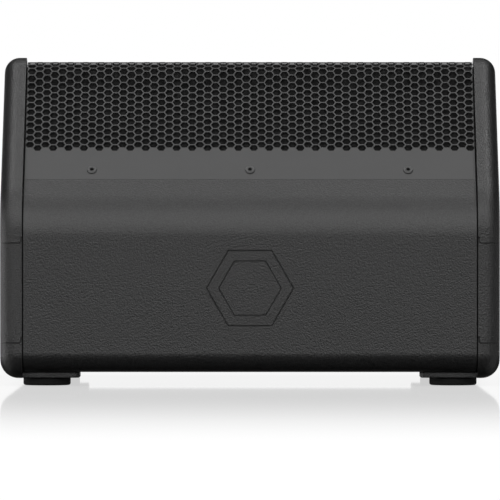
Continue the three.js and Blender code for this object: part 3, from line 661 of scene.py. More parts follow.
def section(*stretches):
    """A closed outline from stretches of the profile: (from, to, inset), in order."""
    points = []
    for start, end, inset in stretches:
        path = BODY.path(min(start, end), max(start, end), inset)
        points += path if end >= start else path[::-1]
    return [(p.x, p.y) for p in points]


def hexagon_groove(radius, width, depth):
    """A cutter: a hexagonal ring that bites into the emblem panel."""
    outer, inner = radius + width / 2, radius - width / 2
    front, back = -HALF_DEPTH - 2, -HALF_DEPTH + depth
    angles = [math.radians(60 * i) for i in range(6)]
    return loft("groove", [[(r * math.cos(a), y, r * math.sin(a) + EMBLEM_Z) for a in angles]
                           for r, y in ((outer, front), (outer, back), (inner, back), (inner, front))],
                wrapped=True)


def folded(name, node, screws, outline, *grooves):
    """A shell of one thickness, with pilot holes for one row of the grille's screws."""
    shell = cut(extrusion(name, outline, -BODY_HALF, BODY_HALF, 0), *grooves)
    cut(shell, *(rod("pilot", PILOT_RADIUS, -20, 3, on_outline(screws, x), 24) for x in SCREW_X))
    piece(bevelled(shell, 0.35, 2, 50), "cabinet_paint", [node])


def rear_panel():
    heel = BODY.stations["heel"][0]
    ridge, end = BODY.stations["ridge"][0], BODY.stations["ridge"][1] + PAST_RIDGE
    outline = section(
        (heel, GRILLE_START - PAINT_GAP, 0), (GRILLE_START, NEAR_STRIP_END, STRIP_SEAT),
        (NEAR_STRIP_END, end, FOAM_BOTTOM + GAP), (end, ridge, BAFFLE_TOP - GAP),
        (ridge, NEAR_STRIP_END, SLOPE_WALL), (NEAR_STRIP_END - 2, heel, WALL))
    folded("rear_panel_shell", "rear_panel", GRILLE_START + SCREW_INSET, outline,
           *(hexagon_groove(*groove) for groove in EMBLEM_GROOVES))


def bottom_panel():
    board = bevelled(block("bottom_board", *box("bottom_panel")), 0.5)
    piece(board, "cabinet_paint", ["bottom_panel"])


def front_lip():
    toe, inside, step = BODY.stations["toe"][1], GRILLE_END + LIP_RUN, GRILLE_END + 4
    outline = section(
        (FAR_STRIP_START, GRILLE_END, STRIP_SEAT), (GRILLE_END + GAP, toe, 0), (toe, inside, FLOOR_WALL),
        (inside, step, BAFFLE_TOP - GAP), (step, FAR_STRIP_START, STRIP_WALL))
    folded("front_lip_shell", "front_lip", GRILLE_END - SCREW_INSET, outline)


rear_panel()
bottom_panel()
front_lip()

# ------------------------------------------------------------------ grille and foam


def hex_cells():
    """Centres (x, distance along the profile) of the grille's holes, column by column."""
    across = HEX_PITCH * math.sqrt(3) / 2
    start = NEAR_STRIP_END + HEX_PITCH / 2
    rows = int((SKIN_FAR_STRIP - start) / HEX_PITCH) - 1
    columns = []
    for c in range(HEX_COLUMNS):
        x = (c - (HEX_COLUMNS - 1) / 2) * across
        shift = 0 if c % 2 else HEX_PITCH / 2
        columns.append((x, [start + shift + row * HEX_PITCH for row in range(rows)]))
    return columns


class Sheet:
    """Grille steel drawn flat as (x, station) and laid on the profile, outside and inside."""

    def __init__(self):
        self.index, self.flat, self.top = {}, [], []

    def corner(self, x, s):
        key = (round(x, 3), round(s, 3))
        if key not in self.index:
            self.index[key] = len(self.flat)
            self.flat.append(key)
        return self.index[key]

    def face(self, corners):
        unique = list(dict.fromkeys(self.corner(x, s) for x, s in corners))
        if len(unique) > 2:
            self.top.append(tuple(unique))

    def solid(self, name, thickness):
        count = len(self.flat)
        points = []
        for inset in (0.0, thickness):
            for x, s in self.flat:
                place = SKIN.at(s, inset)
                points.append((x, place.x, place.y))
        edges = dict.fromkeys(pair for face in self.top for pair in zip(face, face[1:] + face[:1]))
        walls = [(b, a, a + count, b + count) for a, b in edges if (b, a) not in edges]
        below = [tuple(i + count for i in reversed(face)) for face in self.top]
        return from_points(name, points, self.top + below + walls)


def hex_corner(x, s, radius, i):
    angle = math.radians(60 * i)
    return x + radius * math.cos(angle), s + radius * math.sin(angle)


def grille():
    """The hexagons' webs, then the plain strips beyond them, then the plain side edges."""
    sheet = Sheet()
    columns = hex_cells()
    outer = HEX_PITCH / math.sqrt(3)
    inner = (HEX_PITCH - HEX_WEB) / math.sqrt(3)
    half = BODY_HALF - GAP
    for x, rows in columns:
        for s in rows:
            for i in range(6):
                sheet.face([hex_corner(x, s, outer, i), hex_corner(x, s, outer, i + 1),
                            hex_corner(x, s, inner, i + 1), hex_corner(x, s, inner, i)])
    clear = 3                   # how far a strip's last straight line is from the holes' edges
    strips = (
        (0, (4, 5), SKIN.between(GRILLE_START, NEAR_STRIP_END - clear), 1),
        (-1, (2, 1), SKIN.between(SKIN_FAR_STRIP + clear, SKIN_END)[::-1], -1),
    )
    for end_row, sides, lines, turn in strips:
        chain = [hex_corner(x, rows[end_row], outer, i) for x, rows in columns for i in sides]
        chain = [(-half, chain[0][1])] + chain + [(half, chain[-1][1])]
        for (xa, sa), (xb, sb) in zip(chain, chain[1:]):
            sheet.face([(xa, lines[-1]), (xb, lines[-1]), (xb, sb), (xa, sa)][::turn])
            for lower, upper in zip(lines, lines[1:]):
                sheet.face([(xa, lower), (xb, lower), (xb, upper), (xa, upper)][::turn])
    for (x, rows), side, corners in ((columns[0], -1, (4, 3, 2)), (columns[-1], 1, (5, 0, 1))):
        for s in rows:
            chain = [hex_corner(x, s, outer, i) for i in corners]
            for (xa, sa), (xb, sb) in zip(chain, chain[1:]):
                sheet.face([(side * half, sa), (xa, sa), (xb, sb), (side * half, sb)][::-side])
    steel = sheet.solid("grille_steel", GRILLE_SKIN)
    piece(outward(steel), "grille_paint", ["grille"], angle=50)


def foam():
    """The foam behind the grille, a sheet with a slightly uneven face."""
    half, columns, step = BODY_HALF - 0.8, 80, 4
    dip, dip_reach, ripple, ripple_size = 0.4, 9, 0.15, 9
    stations = SKIN.between(NEAR_STRIP_END + GAP, SKIN_FAR_STRIP - GAP, 4)      # degrees in a bend
    dense = []
    for a, b in zip(stations, stations[1:]):
        steps = max(1, round((b - a) / step))
        dense += [a + (b - a) * i / steps for i in range(steps)]
    dense.append(stations[-1])
    across = [(-1 + 2 * i / columns) * half for i in range(columns + 1)]
    rings = []
    fold = sum(SKIN.stations["fold"]) / 2
    for s in dense:
        ring = []
        depth = FOAM_FACE + dip * max(0.0, 1 - abs(s - fold) / dip_reach)
        for x in across:
            place = SKIN.at(s, depth + ripple * (1 + noise.noise(Vector((x, s, 0)) / ripple_size)))
            ring.append((x, place.x, place.y))
        share = (s - dense[0]) / (dense[-1] - dense[0])
        under = BODY.at(s - LONGER * share, FOAM_BOTTOM)
        ring += [(x, under.x, under.y) for x in reversed(across)]
        rings.append(ring)
    pad = piece(loft("grille_foam_pad", rings), "foam", ["grille_foam"])


def grille_screws():
    profile = [(0, -12.8), (2.4, -12.8), (2.4, 0.2), (4.6, 0.2), (4.75, 0.35), (4.75, 0.6), (4.6, 0.85),
               (4.2, 1.1), (3.4, 1.3), (2.4, 1.4), (2.0, 1.35), (1.9, 1.2), (1.9, 0.1), (0, 0.0)]
    for row, station in (("rear", GRILLE_START + SCREW_INSET), ("front", GRILLE_END - SCREW_INSET)):
        for i, x in enumerate(SCREW_X, 1):
            place = on_outline(station, x)
            screw = turned(f"button_screw_{row}_{i}", profile, 48, place)
            piece(screw, "grille_paint", [f"grille_screw_{row}_{i}"])
            # a dark hex disc at the bottom of each head's round recess: painted shade standing in for the
            # socket's shadowed hollow
            hole = rod(f"button_screw_socket_{row}_{i}", 1.85, 0.05, 0.3, place, 6)
            piece(hole, "black_steel", material=SOCKET_SHADE)


grille()
foam()
grille_screws()

# ------------------------------------------------------------------ cheeks

RIBS = ((42.3, 48.1), (138.7, 144.5))
RIB_INNER = CHEEK_INNER + 1.6
RIB_RISE = 0.35
RIB_GAP = 1.15
RIB_GAP_DEPTH = 3.6
FOOT_PAD_X, FOOT_PAD_Y, FOOT_PAD_HALF = (165.4, 228.0), 171.5, 27.0
POCKET_Y, POCKET_Z, POCKET_CORNER = (-160.0, 40.0), (51.5, 135.3), 12.0


def rib_relief(x, z):
    """How far the cheek's end face stands out at a point: a raised bar with a gap under it."""
    for low, high in RIBS:
        radius = 2.0
        dx = max(RIB_INNER + radius - x, 0)
        dz = max(low + radius - z, 0)
        beyond = math.hypot(dx, dz) - radius if dx and dz else max(RIB_INNER - x, low - z)
        if z > high:
            continue
        if beyond <= 0:
            return RIB_RISE
        if beyond < RIB_GAP or (x < RIB_INNER and low < z):
            return -RIB_GAP_DEPTH
    return 0.0


def cheek_stations():
    """Stations round the cheek: fine where the ribs cross the end faces."""
    found = CHEEK.between(0, CHEEK.length, 3)[:-1]
    near_foot, far_top = CHEEK.stations["heel"][1], CHEEK.stations["lip"][1]
    near_z, far_z = CHEEK.at(near_foot).y, CHEEK.at(far_top).y
    for low, high in RIBS:
        heights = [low - RIB_GAP - 0.2 + 0.14 * i for i in range(25)]
        heights += [high - 0.35, high - 0.1, high + 0.02, high + 0.1, high + 0.5]
        for z in heights:
            found.append(near_foot + z - near_z)
            if z < far_z:
                found.append(far_top + far_z - z)
    return sorted(found)


def cheek_fillet(station):
    """The outer edge's radius: rounder along the bottom than up the slopes."""
    bottom_stays_to, fade = 25, 30
    height = CHEEK.at(station).y - CHEEK_BOTTOM
    low = min(1.0, max(0.0, 1 - (height - bottom_stays_to) / fade))
    return CHEEK_FILLET + (CHEEK_BOTTOM_FILLET - CHEEK_FILLET) * low * low * (3 - 2 * low)


def pocket_rings(levels):
    """The side pockets' outline at each level (x, inset)."""
    rings = []
    for x, inset in levels:
        outline = rounded_rectangle(POCKET_Y[0] + inset, POCKET_Z[0] + inset, POCKET_Y[1] - inset,
                                    POCKET_Z[1] - inset, POCKET_CORNER - inset, 8)
        rings.append([(x, y, z) for y, z in outline])
    return rings


def pocket_cutter():
    """The pocket's hole, flared at the mouth so that its edge is left rounded."""
    flare = arc(CHEEK_OUTER - 2, -2, 2, 0, 90, 6)
    return loft("pocket", pocket_rings([(CHEEK_INNER - 30, 0), *flare, (CHEEK_OUTER + 5, -2)]))


def right_cheek():
    """Rings round the profile: the broken inner edge, the ribbed face, then the big outer fillet."""
    edge, steps = 0.45, 13
    rings = [(x, inset, 1.0) for x, inset in arc(CHEEK_INNER + edge, edge, edge, 270, 202.5, 3)]
    fine = [CHEEK_INNER + 0.2 * i for i in range(1, 21)]
    rings += [(x, 0.0, 1.0) for x in fine if x > CHEEK_INNER + edge * 0.95]
    rings += [(None, i / steps, max(0.0, 1 - 1.4 * i / steps)) for i in range(steps + 1)]
    stations = cheek_stations()
    skin = []
    for ring_x, ring_inset, fade in rings:
        ring = []
        for station in stations:
            x, inset = ring_x, ring_inset
            if ring_x is None:
                radius, turn = cheek_fillet(station), math.radians(90 * ring_inset)
                x = CHEEK_OUTER - radius * (1 - math.sin(turn))
                inset = radius * (1 - math.cos(turn))
            point = CHEEK.at(station, inset)
            surface_point = CHEEK.at(station)
            relief = 0.0
            if abs(abs(surface_point.x) - HALF_DEPTH) < 0.01:
                relief = rib_relief(x, surface_point.y) * fade
            side = -1 if point.x < 0 else 1
            ring.append((x, point.x + side * relief, point.y))
        skin.append(ring)
    cheek = loft("right_cheek_skin", skin)
    for y in (-FOOT_PAD_Y, FOOT_PAD_Y):
        outline = rounded_rectangle(FOOT_PAD_X[0], y - FOOT_PAD_HALF, FOOT_PAD_X[1], y + FOOT_PAD_HALF, 6)
        pad = extrusion("pad", outline, CHEEK_BOTTOM + GAP, BODY_BOTTOM - GAP, 2)
        joined(cheek, bevelled(pad, 0.8, 2))
    cut(cheek, pocket_cutter())
    return cheek


def feet():
    """Stepped round rubber feet, each with a screw head in its hollow."""
    profile = [(0, 3.4), (4.6, 3.4), (5.0, 3.0), (5.0, 0.5), (5.5, 0.0), (20.6, 0.0), (21.7, 0.25),
               (22.5, 0.8), (22.9, 1.6), (23, 2.4), (23, 6.9), (22.6, 7.3), (0, 7.3)]
    head = [(0, 1.6), (1.2, 1.6), (1.4, 2.2), (3.2, 1.4), (4.2, 2.2), (4.3, 3.2), (0, 3.2)]
    for i in range(1, 5):
        low, high = box(f"foot_{i}")
        place = Matrix.Translation(((low.x + high.x) / 2, (low.y + high.y) / 2, 0))
        piece(turned(f"rubber_foot_{i}", profile, 72, place), "rubber_feet", [f"foot_{i}"])
        piece(turned(f"foot_screw_{i}", head, 32, place), "black_steel")


cheek = right_cheek()
piece(mirrored(cheek, "left_cheek_skin"), "cheek_moulding", ["left_cheek"])
piece(cheek, "cheek_moulding", ["right_cheek"])
feet()

# ------------------------------------------------------------------ side pockets

SIDE_FACE = CHEEK_OUTER - 1.2
DISH_WALL = 3.0
HANDLE_BACK = -span("handle_dish", 0)[1]
PANEL_FRONT = span("input_panel", 0)[1]
PANEL_BACK = span("input_panel", 0)[0]


def rim(face, outer, inner):
    """The rounded edge of a dish's wall, from its outer side round to its inner side."""
    radius = 1.1
    return (arc(face - radius, outer + radius, radius, 180, 90)
            + arc(face - radius, inner - radius, radius, 90, 0))


def handle_dish():
    back, wall, corner = HANDLE_BACK - DISH_WALL, GAP + DISH_WALL, 6.0
    levels = arc(back + 2, GAP + 2, 2, 270, 180) + rim(SIDE_FACE, GAP, wall)
    levels += arc(HANDLE_BACK + corner, wall + corner, corner, 180, 270, 6)
    dish = flipped(loft("carry_pocket", pocket_rings(levels)))
    piece(dish, "cheek_moulding", ["handle_dish"])


def handle_grip():
    """A rubber-covered bar with shallow finger ribs, its ends spreading into the dish."""
    low, high = box("handle_grip")
    centre, half = (low + high) / 2, (high - low) / 2
    ribbed, pitch, rib_depth = half.y - 22, 4.4, 0.55
    flare, flare_rise, corner = 7.0, 1.6, 8
    rings, steps = [], 260
    for i in range(steps + 1):
        along = -half.y + 2 * half.y * i / steps
        away = half.y - abs(along)
        grown = flare_rise * max(0.0, 1 - away / flare) ** 2
        dent = 0.0
        if abs(along) < ribbed:
            fade = min(1.0, (ribbed - abs(along)) / 6)
            dent = rib_depth * fade * abs(math.sin(math.pi * along / pitch)) ** 0.6
        shift = grown - dent
        outline = rounded_rectangle(
            centre.x - half.x - shift, centre.z - half.z - shift,
            centre.x + half.x + shift, centre.z + half.z + shift, corner + shift, 7)
        rings.append([(x, centre.y + along, z) for x, z in outline])
    piece(loft("carry_grip", rings), "grip_rubber", ["handle_grip"], angle=60)


def connector_dish():
    ledge, wall, opening = PANEL_BACK - GAP, GAP + DISH_WALL, 7.0
    levels = [(ledge - 3, GAP)] + rim(SIDE_FACE, GAP, wall) + arc(ledge + 2, wall + 2, 2, 180, 270, 4)
    levels += [(ledge, wall + opening), (ledge - 3, wall + opening)]
    dish = loft("connector_pocket", pocket_rings(levels), wrapped=True)
    piece(dish, "cheek_moulding", ["connector_dish"])


# ------------------------------------------------------------------ connector panel
# Fittings face +X, so their sizes are (y, z), and depths are x in the cabinet's frame.

# where the fittings are, across and up the panel
ROW = 94.0
INPUT_Y, LINK_Y, LEVEL_Y, LAMP_Y, ROCKER_Y, MAINS_Y = -136.0, -104.0, -72.0, -52.0, -26.0, 10.0
SIGNAL_Z, LIMIT_Z, MODE_Z, FUSE_Z = 110.0, 99.0, 82.0, 108.0
FLANGE_BACK = PANEL_FRONT + GAP
# depths: the backs of the sockets and of their recesses, and where their cutters end
SOCKET_BACK, RECESS_BACK, PAST_FRONT = 188.0, 195.0, 222.0


def plate(name, y, z, half_y, half_z, radius, low, high, edge):
    """A flat plate with round corners, from depth low to high, with its edges broken."""
    outline = rounded_rectangle(y - half_y, z - half_z, y + half_y, z + half_z, radius)
    return bevelled(extrusion(name, outline, low, high, 0), edge, 2)


def slab(name, y, z, half_y, half_z, low, high):
    """A square-cornered block, from depth low to high."""
    return block(name, (low, y - half_y, z - half_z), (high, y + half_y, z + half_z))


def bore(radius, low, high, y, z, segments=48):
    return rod("bore", radius, low, high, facing_x(0, y, z), segments)


def panel_plate():
    low, high = box("input_panel")
    body = plate("connector_panel", (low.y + high.y) / 2, (low.z + high.z) / 2, (high.y - low.y) / 2,
                 (high.z - low.z) / 2, 8.4, low.x, high.x, 0.3)
    holes = [bore(12.1, low.x - 5, high.x + 5, y, ROW) for y in (INPUT_Y, LINK_Y)]
    holes += [bore(4.3, low.x - 5, high.x + 5, LEVEL_Y, ROW)]
    holes += [bore(1.8, low.x - 5, high.x + 5, LAMP_Y, z, 24) for z in (SIGNAL_Z, LIMIT_Z)]
    holes += [slab("hole", *opening, low.x - 5, high.x + 5) for opening in (
        (LAMP_Y, MODE_Z, 4.3, 4.3), (ROCKER_Y, ROW, 11.3, 15.3), (MAINS_Y, ROW, 13.3, 23.3),
        (INPUT_Y, ROW + 13, 3.6, 2.2))]
    cut(body, *holes)
    piece(body, "black_steel", ["input_panel"], material=PANEL_COAT)
    for i, (y, z) in enumerate(((-149, 62), (-149, 125), (29, 62), (29, 125)), 1):
        cross_screw(f"panel_screw_{i}", y, z, PANEL_FRONT, 2.7)


def cross_screw(name, y, z, face, radius):
    """A pan-head screw with a cross recess."""
    head = turned(name, [(0, -3), (radius * 0.5, -3), (radius * 0.5, 0.05), (radius * 0.95, 0.05),
                         (radius, 0.3), (radius * 0.93, 0.8), (radius * 0.7, 1.25), (radius * 0.35, 1.5),
                         (0, 1.55)], 32, facing_x(face, y, z))
    for turn in (45, 135):
        blade = block("blade", (0.55, -radius * 0.55, -0.32), (2.5, radius * 0.55, 0.32))
        blade.data.transform(Matrix.Translation((face, y, z)) @ Matrix.Rotation(math.radians(turn), 4, "X"))
        cut(head, blade)
    piece(head, "zinc_steel")


def flat_marks(name, shapes):
    """Printed marks: thin flat shapes, each a list of (y, z), just proud of the panel."""
    points, faces = [], []
    for outline in shapes:
        base = len(points)
        count = len(outline)
        for x in (PANEL_FRONT + 0.01, PANEL_FRONT + 0.07):
            points += [(x, y, z) for y, z in outline]
        faces.append(tuple(base + i for i in range(count)))
        faces.append(tuple(base + count + i for i in range(count)))
        for i in range(count):
            j = (i + 1) % count
            faces.append((base + i, base + j, base + count + j, base + count + i))
    piece(outward(from_points(name, points, faces)), "black_steel", material=MARKING)


def bar(y0, z0, y1, z1, width):
    """A straight printed line."""
    way = Vector((y1 - y0, z1 - z0)).normalized() * width / 2
    side = Vector((-way.y, way.x))
    a, b = Vector((y0, z0)), Vector((y1, z1))
    return [tuple(a - side), tuple(b - side), tuple(b + side), tuple(a + side)]


def dial_marks():
    """Eleven ticks round the level knob, the end ones and the middle one longer."""
    shapes = []
    for i in range(11):
        angle = math.radians(-150 + 30 * i)
        reach = 15.0 if i in (0, 5, 10) else 13.8
        y, z = math.sin(angle), math.cos(angle)
        shapes.append(bar(LEVEL_Y + 12 * y, ROW + 12 * z, LEVEL_Y + reach * y, ROW + reach * z, 0.7))
    flat_marks("dial_marks", shapes)


def group_marks():
    """Thin printed rules that group the fittings."""
    shapes = [bar(-151, 117, -89, 117, 0.5), bar(-151, 71, -89, 71, 0.5),
              bar(-86.5, 71, -86.5, 117, 0.5), bar(-42.5, 71, -42.5, 117, 0.5),
              bar(-59, SIGNAL_Z, -55.5, SIGNAL_Z, 0.5), bar(-59, LIMIT_Z, -55.5, LIMIT_Z, 0.5),
              bar(-60.5, MODE_Z, -58, MODE_Z, 0.5)]
    flat_marks("group_marks", shapes)


def socket_shell(name, y):
    """A round panel socket in a square flange; its two fixing screws are added by flange_screws."""
    front = FLANGE_BACK + 2
    shell = plate(name, y, ROW, 13, 15.5, 2.5, FLANGE_BACK, front, 0.5)
    ring_profile = [(9.6, -1), (11.9, -1), (11.9, 0.5), (11.5, 0.9), (10.2, 0.9), (9.6, 0.4), (9.6, -1)]
    ring = turned("ring", ring_profile, 64, facing_x(front, y, ROW))
    joined(shell, bore(11.7, SOCKET_BACK, front - 0.5, y, ROW, 64))
    cut(shell, bore(9.6, front - 14.5, front + 3, y, ROW, 64))
    return joined(shell, ring)


def flange_screws(name, y):
    for i, (dy, dz) in enumerate(((-9.6, 12), (9.6, -12)), 1):
        cross_screw(f"{name}_screw_{i}", y + dy, ROW + dz, FLANGE_BACK + 2, 2.1)


def input_jack():
    """A combination socket: three contact holes round a plain jack hole."""
    shell = socket_shell("combination_socket", INPUT_Y)
    cut(shell, slab("slot", INPUT_Y, ROW + 13, 3.3, 1.9, 200, 218))
    insert = bore(9.3, FLANGE_BACK - 11, FLANGE_BACK - 1.2, INPUT_Y, ROW, 64)
    holes = [bore(3.4, FLANGE_BACK - 10, FLANGE_BACK, INPUT_Y, ROW, 32)]
    for angle in (90, 210, 330):
        y = INPUT_Y + 6 * math.cos(math.radians(angle))
        z = ROW - 6 * math.sin(math.radians(angle))
        holes.append(bore(1.5, FLANGE_BACK - 10, FLANGE_BACK, y, z, 24))
    piece(cut(insert, *holes), "black_plastic")
    piece(shell, "black_plastic", ["input_jack"])
    flange_screws("combination_socket", INPUT_Y)
    tab = plate("latch_tab", INPUT_Y, ROW + 13, 3, 1.6, 0.6, 207, 214.6, 0.35)
    piece(tab, "zinc_steel", ["input_latch"], "latch_key")


def link_jack():
    """A three-pin output."""
    piece(socket_shell("link_socket", LINK_Y), "black_plastic", ["link_jack"])
    profile = [(0, -2), (1.2, -2), (1.2, 8.8), (1.0, 9.5), (0.55, 9.95), (0, 10)]
    for i, (dy, dz) in enumerate(((-3.6, 2.4), (3.6, 2.4), (0, -4)), 1):
        place = facing_x(FLANGE_BACK - 12.5, LINK_Y + dy, ROW + dz)
        piece(turned(f"link_pin_{i}", profile, 24, place), "zinc_steel")
    flange_screws("link_socket", LINK_Y)


def level_knob():
    """A fluted knob with a skirt and a white pointer."""
    low = FLANGE_BACK + 1 + GAP
    profile = [(0, 10.4), (3.3, 10.4), (3.3, 0), (9.3, 0), (9.6, 0.3), (9.5, 0.9), (8.9, 1.6), (8.4, 2.1),
               (8.2, 3), (7.85, 8), (7.65, 12.2), (7.3, 13.1), (6.6, 13.5), (5.2, 13.35), (0, 13.2)]
    knob = turned("level_knob_fluted", profile, 144)
    for vertex in knob.data.vertices:
        x, y, z = vertex.co
        radius = math.hypot(x, y)
        if radius > 7.0 and 2.5 < z < 13.2:
            fade = min(1.0, (z - 2.5) / 1.5)
            dent = 0.42 * fade * (0.5 - 0.5 * math.cos(18 * math.atan2(y, x))) ** 2
            vertex.co.x *= 1 - dent / radius
            vertex.co.y *= 1 - dent / radius
    knob.data.transform(facing_x(low, LEVEL_Y, ROW))
    piece(knob, "knob_plastic", ["level_knob"], "level_control", 40)
    pointer = block("level_pointer", (low + 12.6, LEVEL_Y - 0.55, ROW + 1.5),
                    (low + 13.75, LEVEL_Y + 0.55, ROW + 6.6))
    piece(bevelled(pointer, 0.15, 1), "knob_plastic", (), "level_control", material=MARKING)


def lamps():
    profile = [(0, 0), (1.5, 0), (1.5, 5.9), (1.42, 6.4), (1.2, 6.9), (0.8, 7.25), (0.4, 7.38), (0, 7.4)]
    ring = [(1.55, 5.9), (2.5, 5.9), (2.55, 6.2), (2.3, 6.55), (1.8, 6.6), (1.55, 6.4), (1.55, 5.9)]
    for name, z, slot in (("signal_led", SIGNAL_Z, "green_lens"), ("limit_led", LIMIT_Z, "red_lens")):
        place = facing_x(204, LAMP_Y, z)
        piece(turned(name + "_lens", profile, 32, place), slot, [name])
        piece(turned(name + "_bezel", ring, 32, facing_x(204.15, LAMP_Y, z)), "black_plastic")


def mode_button():
    cap = plate("mode_cap", LAMP_Y, MODE_Z, 3.6, 3.6, 0.8, 200.5, 214, 0.45)
    piece(cap, "grey_button", ["mode_button"], "mode_key")
    bezel = plate("mode_bezel", LAMP_Y, MODE_Z, 5.4, 5.4, 1.2, PANEL_FRONT + 0.05, PANEL_FRONT + 0.9, 0.3)
    piece(cut(bezel, slab("well", LAMP_Y, MODE_Z, 3.95, 3.95, 205, 216)), "black_plastic")


ROCKER_PIVOT = PANEL_BACK - 1


def rocker_switch():
    front = FLANGE_BACK + 1.8
    rim_plate = plate("rocker_bezel", ROCKER_Y, ROW, 12.5, 17, 2, FLANGE_BACK, front, 0.5)
    joined(rim_plate, slab("body", ROCKER_Y, ROW, 11, 15, 190, FLANGE_BACK + 1))
    well = plate("well", ROCKER_Y, ROW, 9.4, 13.4, 0.8, RECESS_BACK, PAST_FRONT, 0.2)
    pins = rod("pins", 2.3, -10.4, 10.4, Matrix.Translation((ROCKER_PIVOT, ROCKER_Y, ROW))
               @ Matrix.Rotation(math.radians(90), 4, "X"), 32)
    piece(cut(rim_plate, well, pins), "black_plastic", ["rocker_frame"])
    rocker()


def rocker():
    """The rocker: a concave V in front, a round heel behind, switched on."""
    reach, rise_at_end, half = 11.8, 2.8, 8.8
    heights = [-reach + 2 * reach * i / 12 for i in range(13)]
    outline = [(0.0, -12.2)] + [(3.4 + rise_at_end * (abs(z) / reach) ** 1.15, z) for z in heights]
    outline += [(0.0, 12.2)] + arc(0, 0, 6, 0, -180, 15)
    turn = Matrix.Translation((ROCKER_PIVOT, ROCKER_Y, ROW)) @ Matrix.Rotation(math.radians(8), 4, "Y")
    key = loft("rocker_key", [[(x, y, z) for x, z in outline] for y in (-half, half)])
    bevelled(key, 0.45, 2, 30)
    key.data.transform(turn)
    joined(key, rod("stub", 2.0, -10, 10, turn @ Matrix.Rotation(math.radians(90), 4, "X"), 32))
    piece(key, "black_plastic", ["power_rocker"], "power_switch", 30)
    face = math.atan2(rise_at_end, reach)
    line = block("rocker_line", (0, -0.6, -2.6), (0.25, 0.6, 2.6))
    line.data.transform(turn @ Matrix.Translation((4.72, 0, 6.2)) @ Matrix.Rotation(face, 4, "Y"))
    piece(line, "black_plastic", (), "power_switch", material=MARKING)
    ring = turned("rocker_ring", [(1.9, 0), (2.6, 0), (2.6, 0.25), (1.9, 0.25), (1.9, 0)], 40,
                  turn @ Matrix.Translation((4.72, 0, -6.2)) @ Matrix.Rotation(-face, 4, "Y")
                  @ Matrix.Rotation(math.radians(90), 4, "Y"))
    piece(ring, "black_plastic", (), "power_switch", material=MARKING)


def mains_inlet():
    front = FLANGE_BACK + 2.2
    inlet = plate("mains_socket", MAINS_Y, ROW, 15, 25, 2.5, FLANGE_BACK, front, 0.6)
    joined(inlet, slab("body", MAINS_Y, ROW, 13, 23, SOCKET_BACK, FLANGE_BACK + 1))
    y0, y1, z0, z1, chamfer = MAINS_Y - 12, MAINS_Y + 12, ROW - 20, ROW - 2.5, 4.5
    opening = [(y0, z1), (y0, z0 + chamfer), (y0 + chamfer, z0), (y1 - chamfer, z0), (y1, z0 + chamfer),
               (y1, z1)]
    recess = bevelled(extrusion("recess", opening, RECESS_BACK, PAST_FRONT, 0), 0.8, 2, 20)
    cut(inlet, recess, slab("drawer", MAINS_Y, FUSE_Z, 10.3, 5.8, 191.7, PAST_FRONT))
    piece(inlet, "black_plastic", ["mains_inlet"])
    for i, (dy, dz) in enumerate(((-7, -13), (0, -9), (7, -13)), 1):
        blade = slab(f"mains_pin_{i}", MAINS_Y + dy, ROW + dz, 1, 2, 193, 209)
        piece(bevelled(blade, 0.4), "zinc_steel")
    fuse_drawer()


def fuse_drawer():
    lid = plate("fuse_lid", MAINS_Y, FUSE_Z, 11.5, 6.8, 1.5, 212.8, 214.6, 0.45)
    cut(lid, plate("grip", MAINS_Y, FUSE_Z + 4.4, 4, 1.3, 0.8, 214.0, 216, 0.2))
    tray = slab("tray", MAINS_Y, FUSE_Z, 10, 5.5, 192, 213)
    cut(tray, slab("well", MAINS_Y, FUSE_Z + 3, 8, 6, 194, 206))
    piece(joined(lid, tray), "black_plastic", ["fuse_drawer"], "fuse_holder")


handle_dish()
handle_grip()
connector_dish()
panel_plate()
dial_marks()
group_marks()
input_jack()
link_jack()
level_knob()
lamps()
mode_button()
rocker_switch()
mains_inlet()

# ------------------------------------------------------------------ loudspeaker and lining

CONE_BODY = "cone_and_coil"


def by_radius(obj, inner, outer):
    """Works out each point's share between the cone at a ring's inner edge and its fixed outer edge; the
    shares are not kept.
    """
    back = DRIVER.inverted()
    for vertex in obj.data.vertices:
        place = back @ (vertex.co / MM)
        share = (outer - math.hypot(place.x, place.y)) / (outer - inner)
        share = min(1.0, max(0.0, share))


def suspended(obj, inner, outer):
    """Bakes a ring's placement into its mesh and works out its shares between the cabinet and the cone; the
    ring is not tied to either.
    """
    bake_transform(obj)
    by_radius(obj, inner, outer)


def surround():
    """A half-roll of rubber, 0.8 mm thick, with a flat lip each side."""
    outer, inner = [], []
    for i in range(17):
        angle = math.radians(180 - 180 * i / 16)
        y, z = math.cos(angle), math.sin(angle)
        outer.append((128.5 + 8.8 * y, 5.6 + 7.7 * z))
        inner.append((128.5 + 8.0 * y, 5.2 + 7.2 * z))
    profile = [(112, 5.8)] + outer + [(145, 6.2), (145, 5.4)] + inner[::-1] + [(112, 5.1), (112, 5.8)]
    ring = turned("surround_roll", profile, 96, DRIVER)
    piece(ring, "rubber_feet", ["woofer_surround"], ride=False, angle=50)
    suspended(ring, 119, 138)


def spider():
    """The corrugated suspension cloth, 0.6 mm thick."""
    upper, lower = [], []
    inner, outer, steps = 28.2, 72, 88
    for i in range(steps + 1):
        radius = inner + (outer - inner) * i / steps
        wave = 0.5 * math.sin(2 * math.pi * (radius - inner) / 7.3) * min(1, (outer - radius) / 6)
        upper.append((radius, -59.75 + wave))
        lower.append((radius, -60.35 + wave))
    cloth = turned("spider_cloth_disc", upper + lower[::-1] + [upper[0]], 72, DRIVER)
    piece(cloth, "spider_cloth", ["woofer_spider"], ride=False, angle=60)
    suspended(cloth, 30, 68)


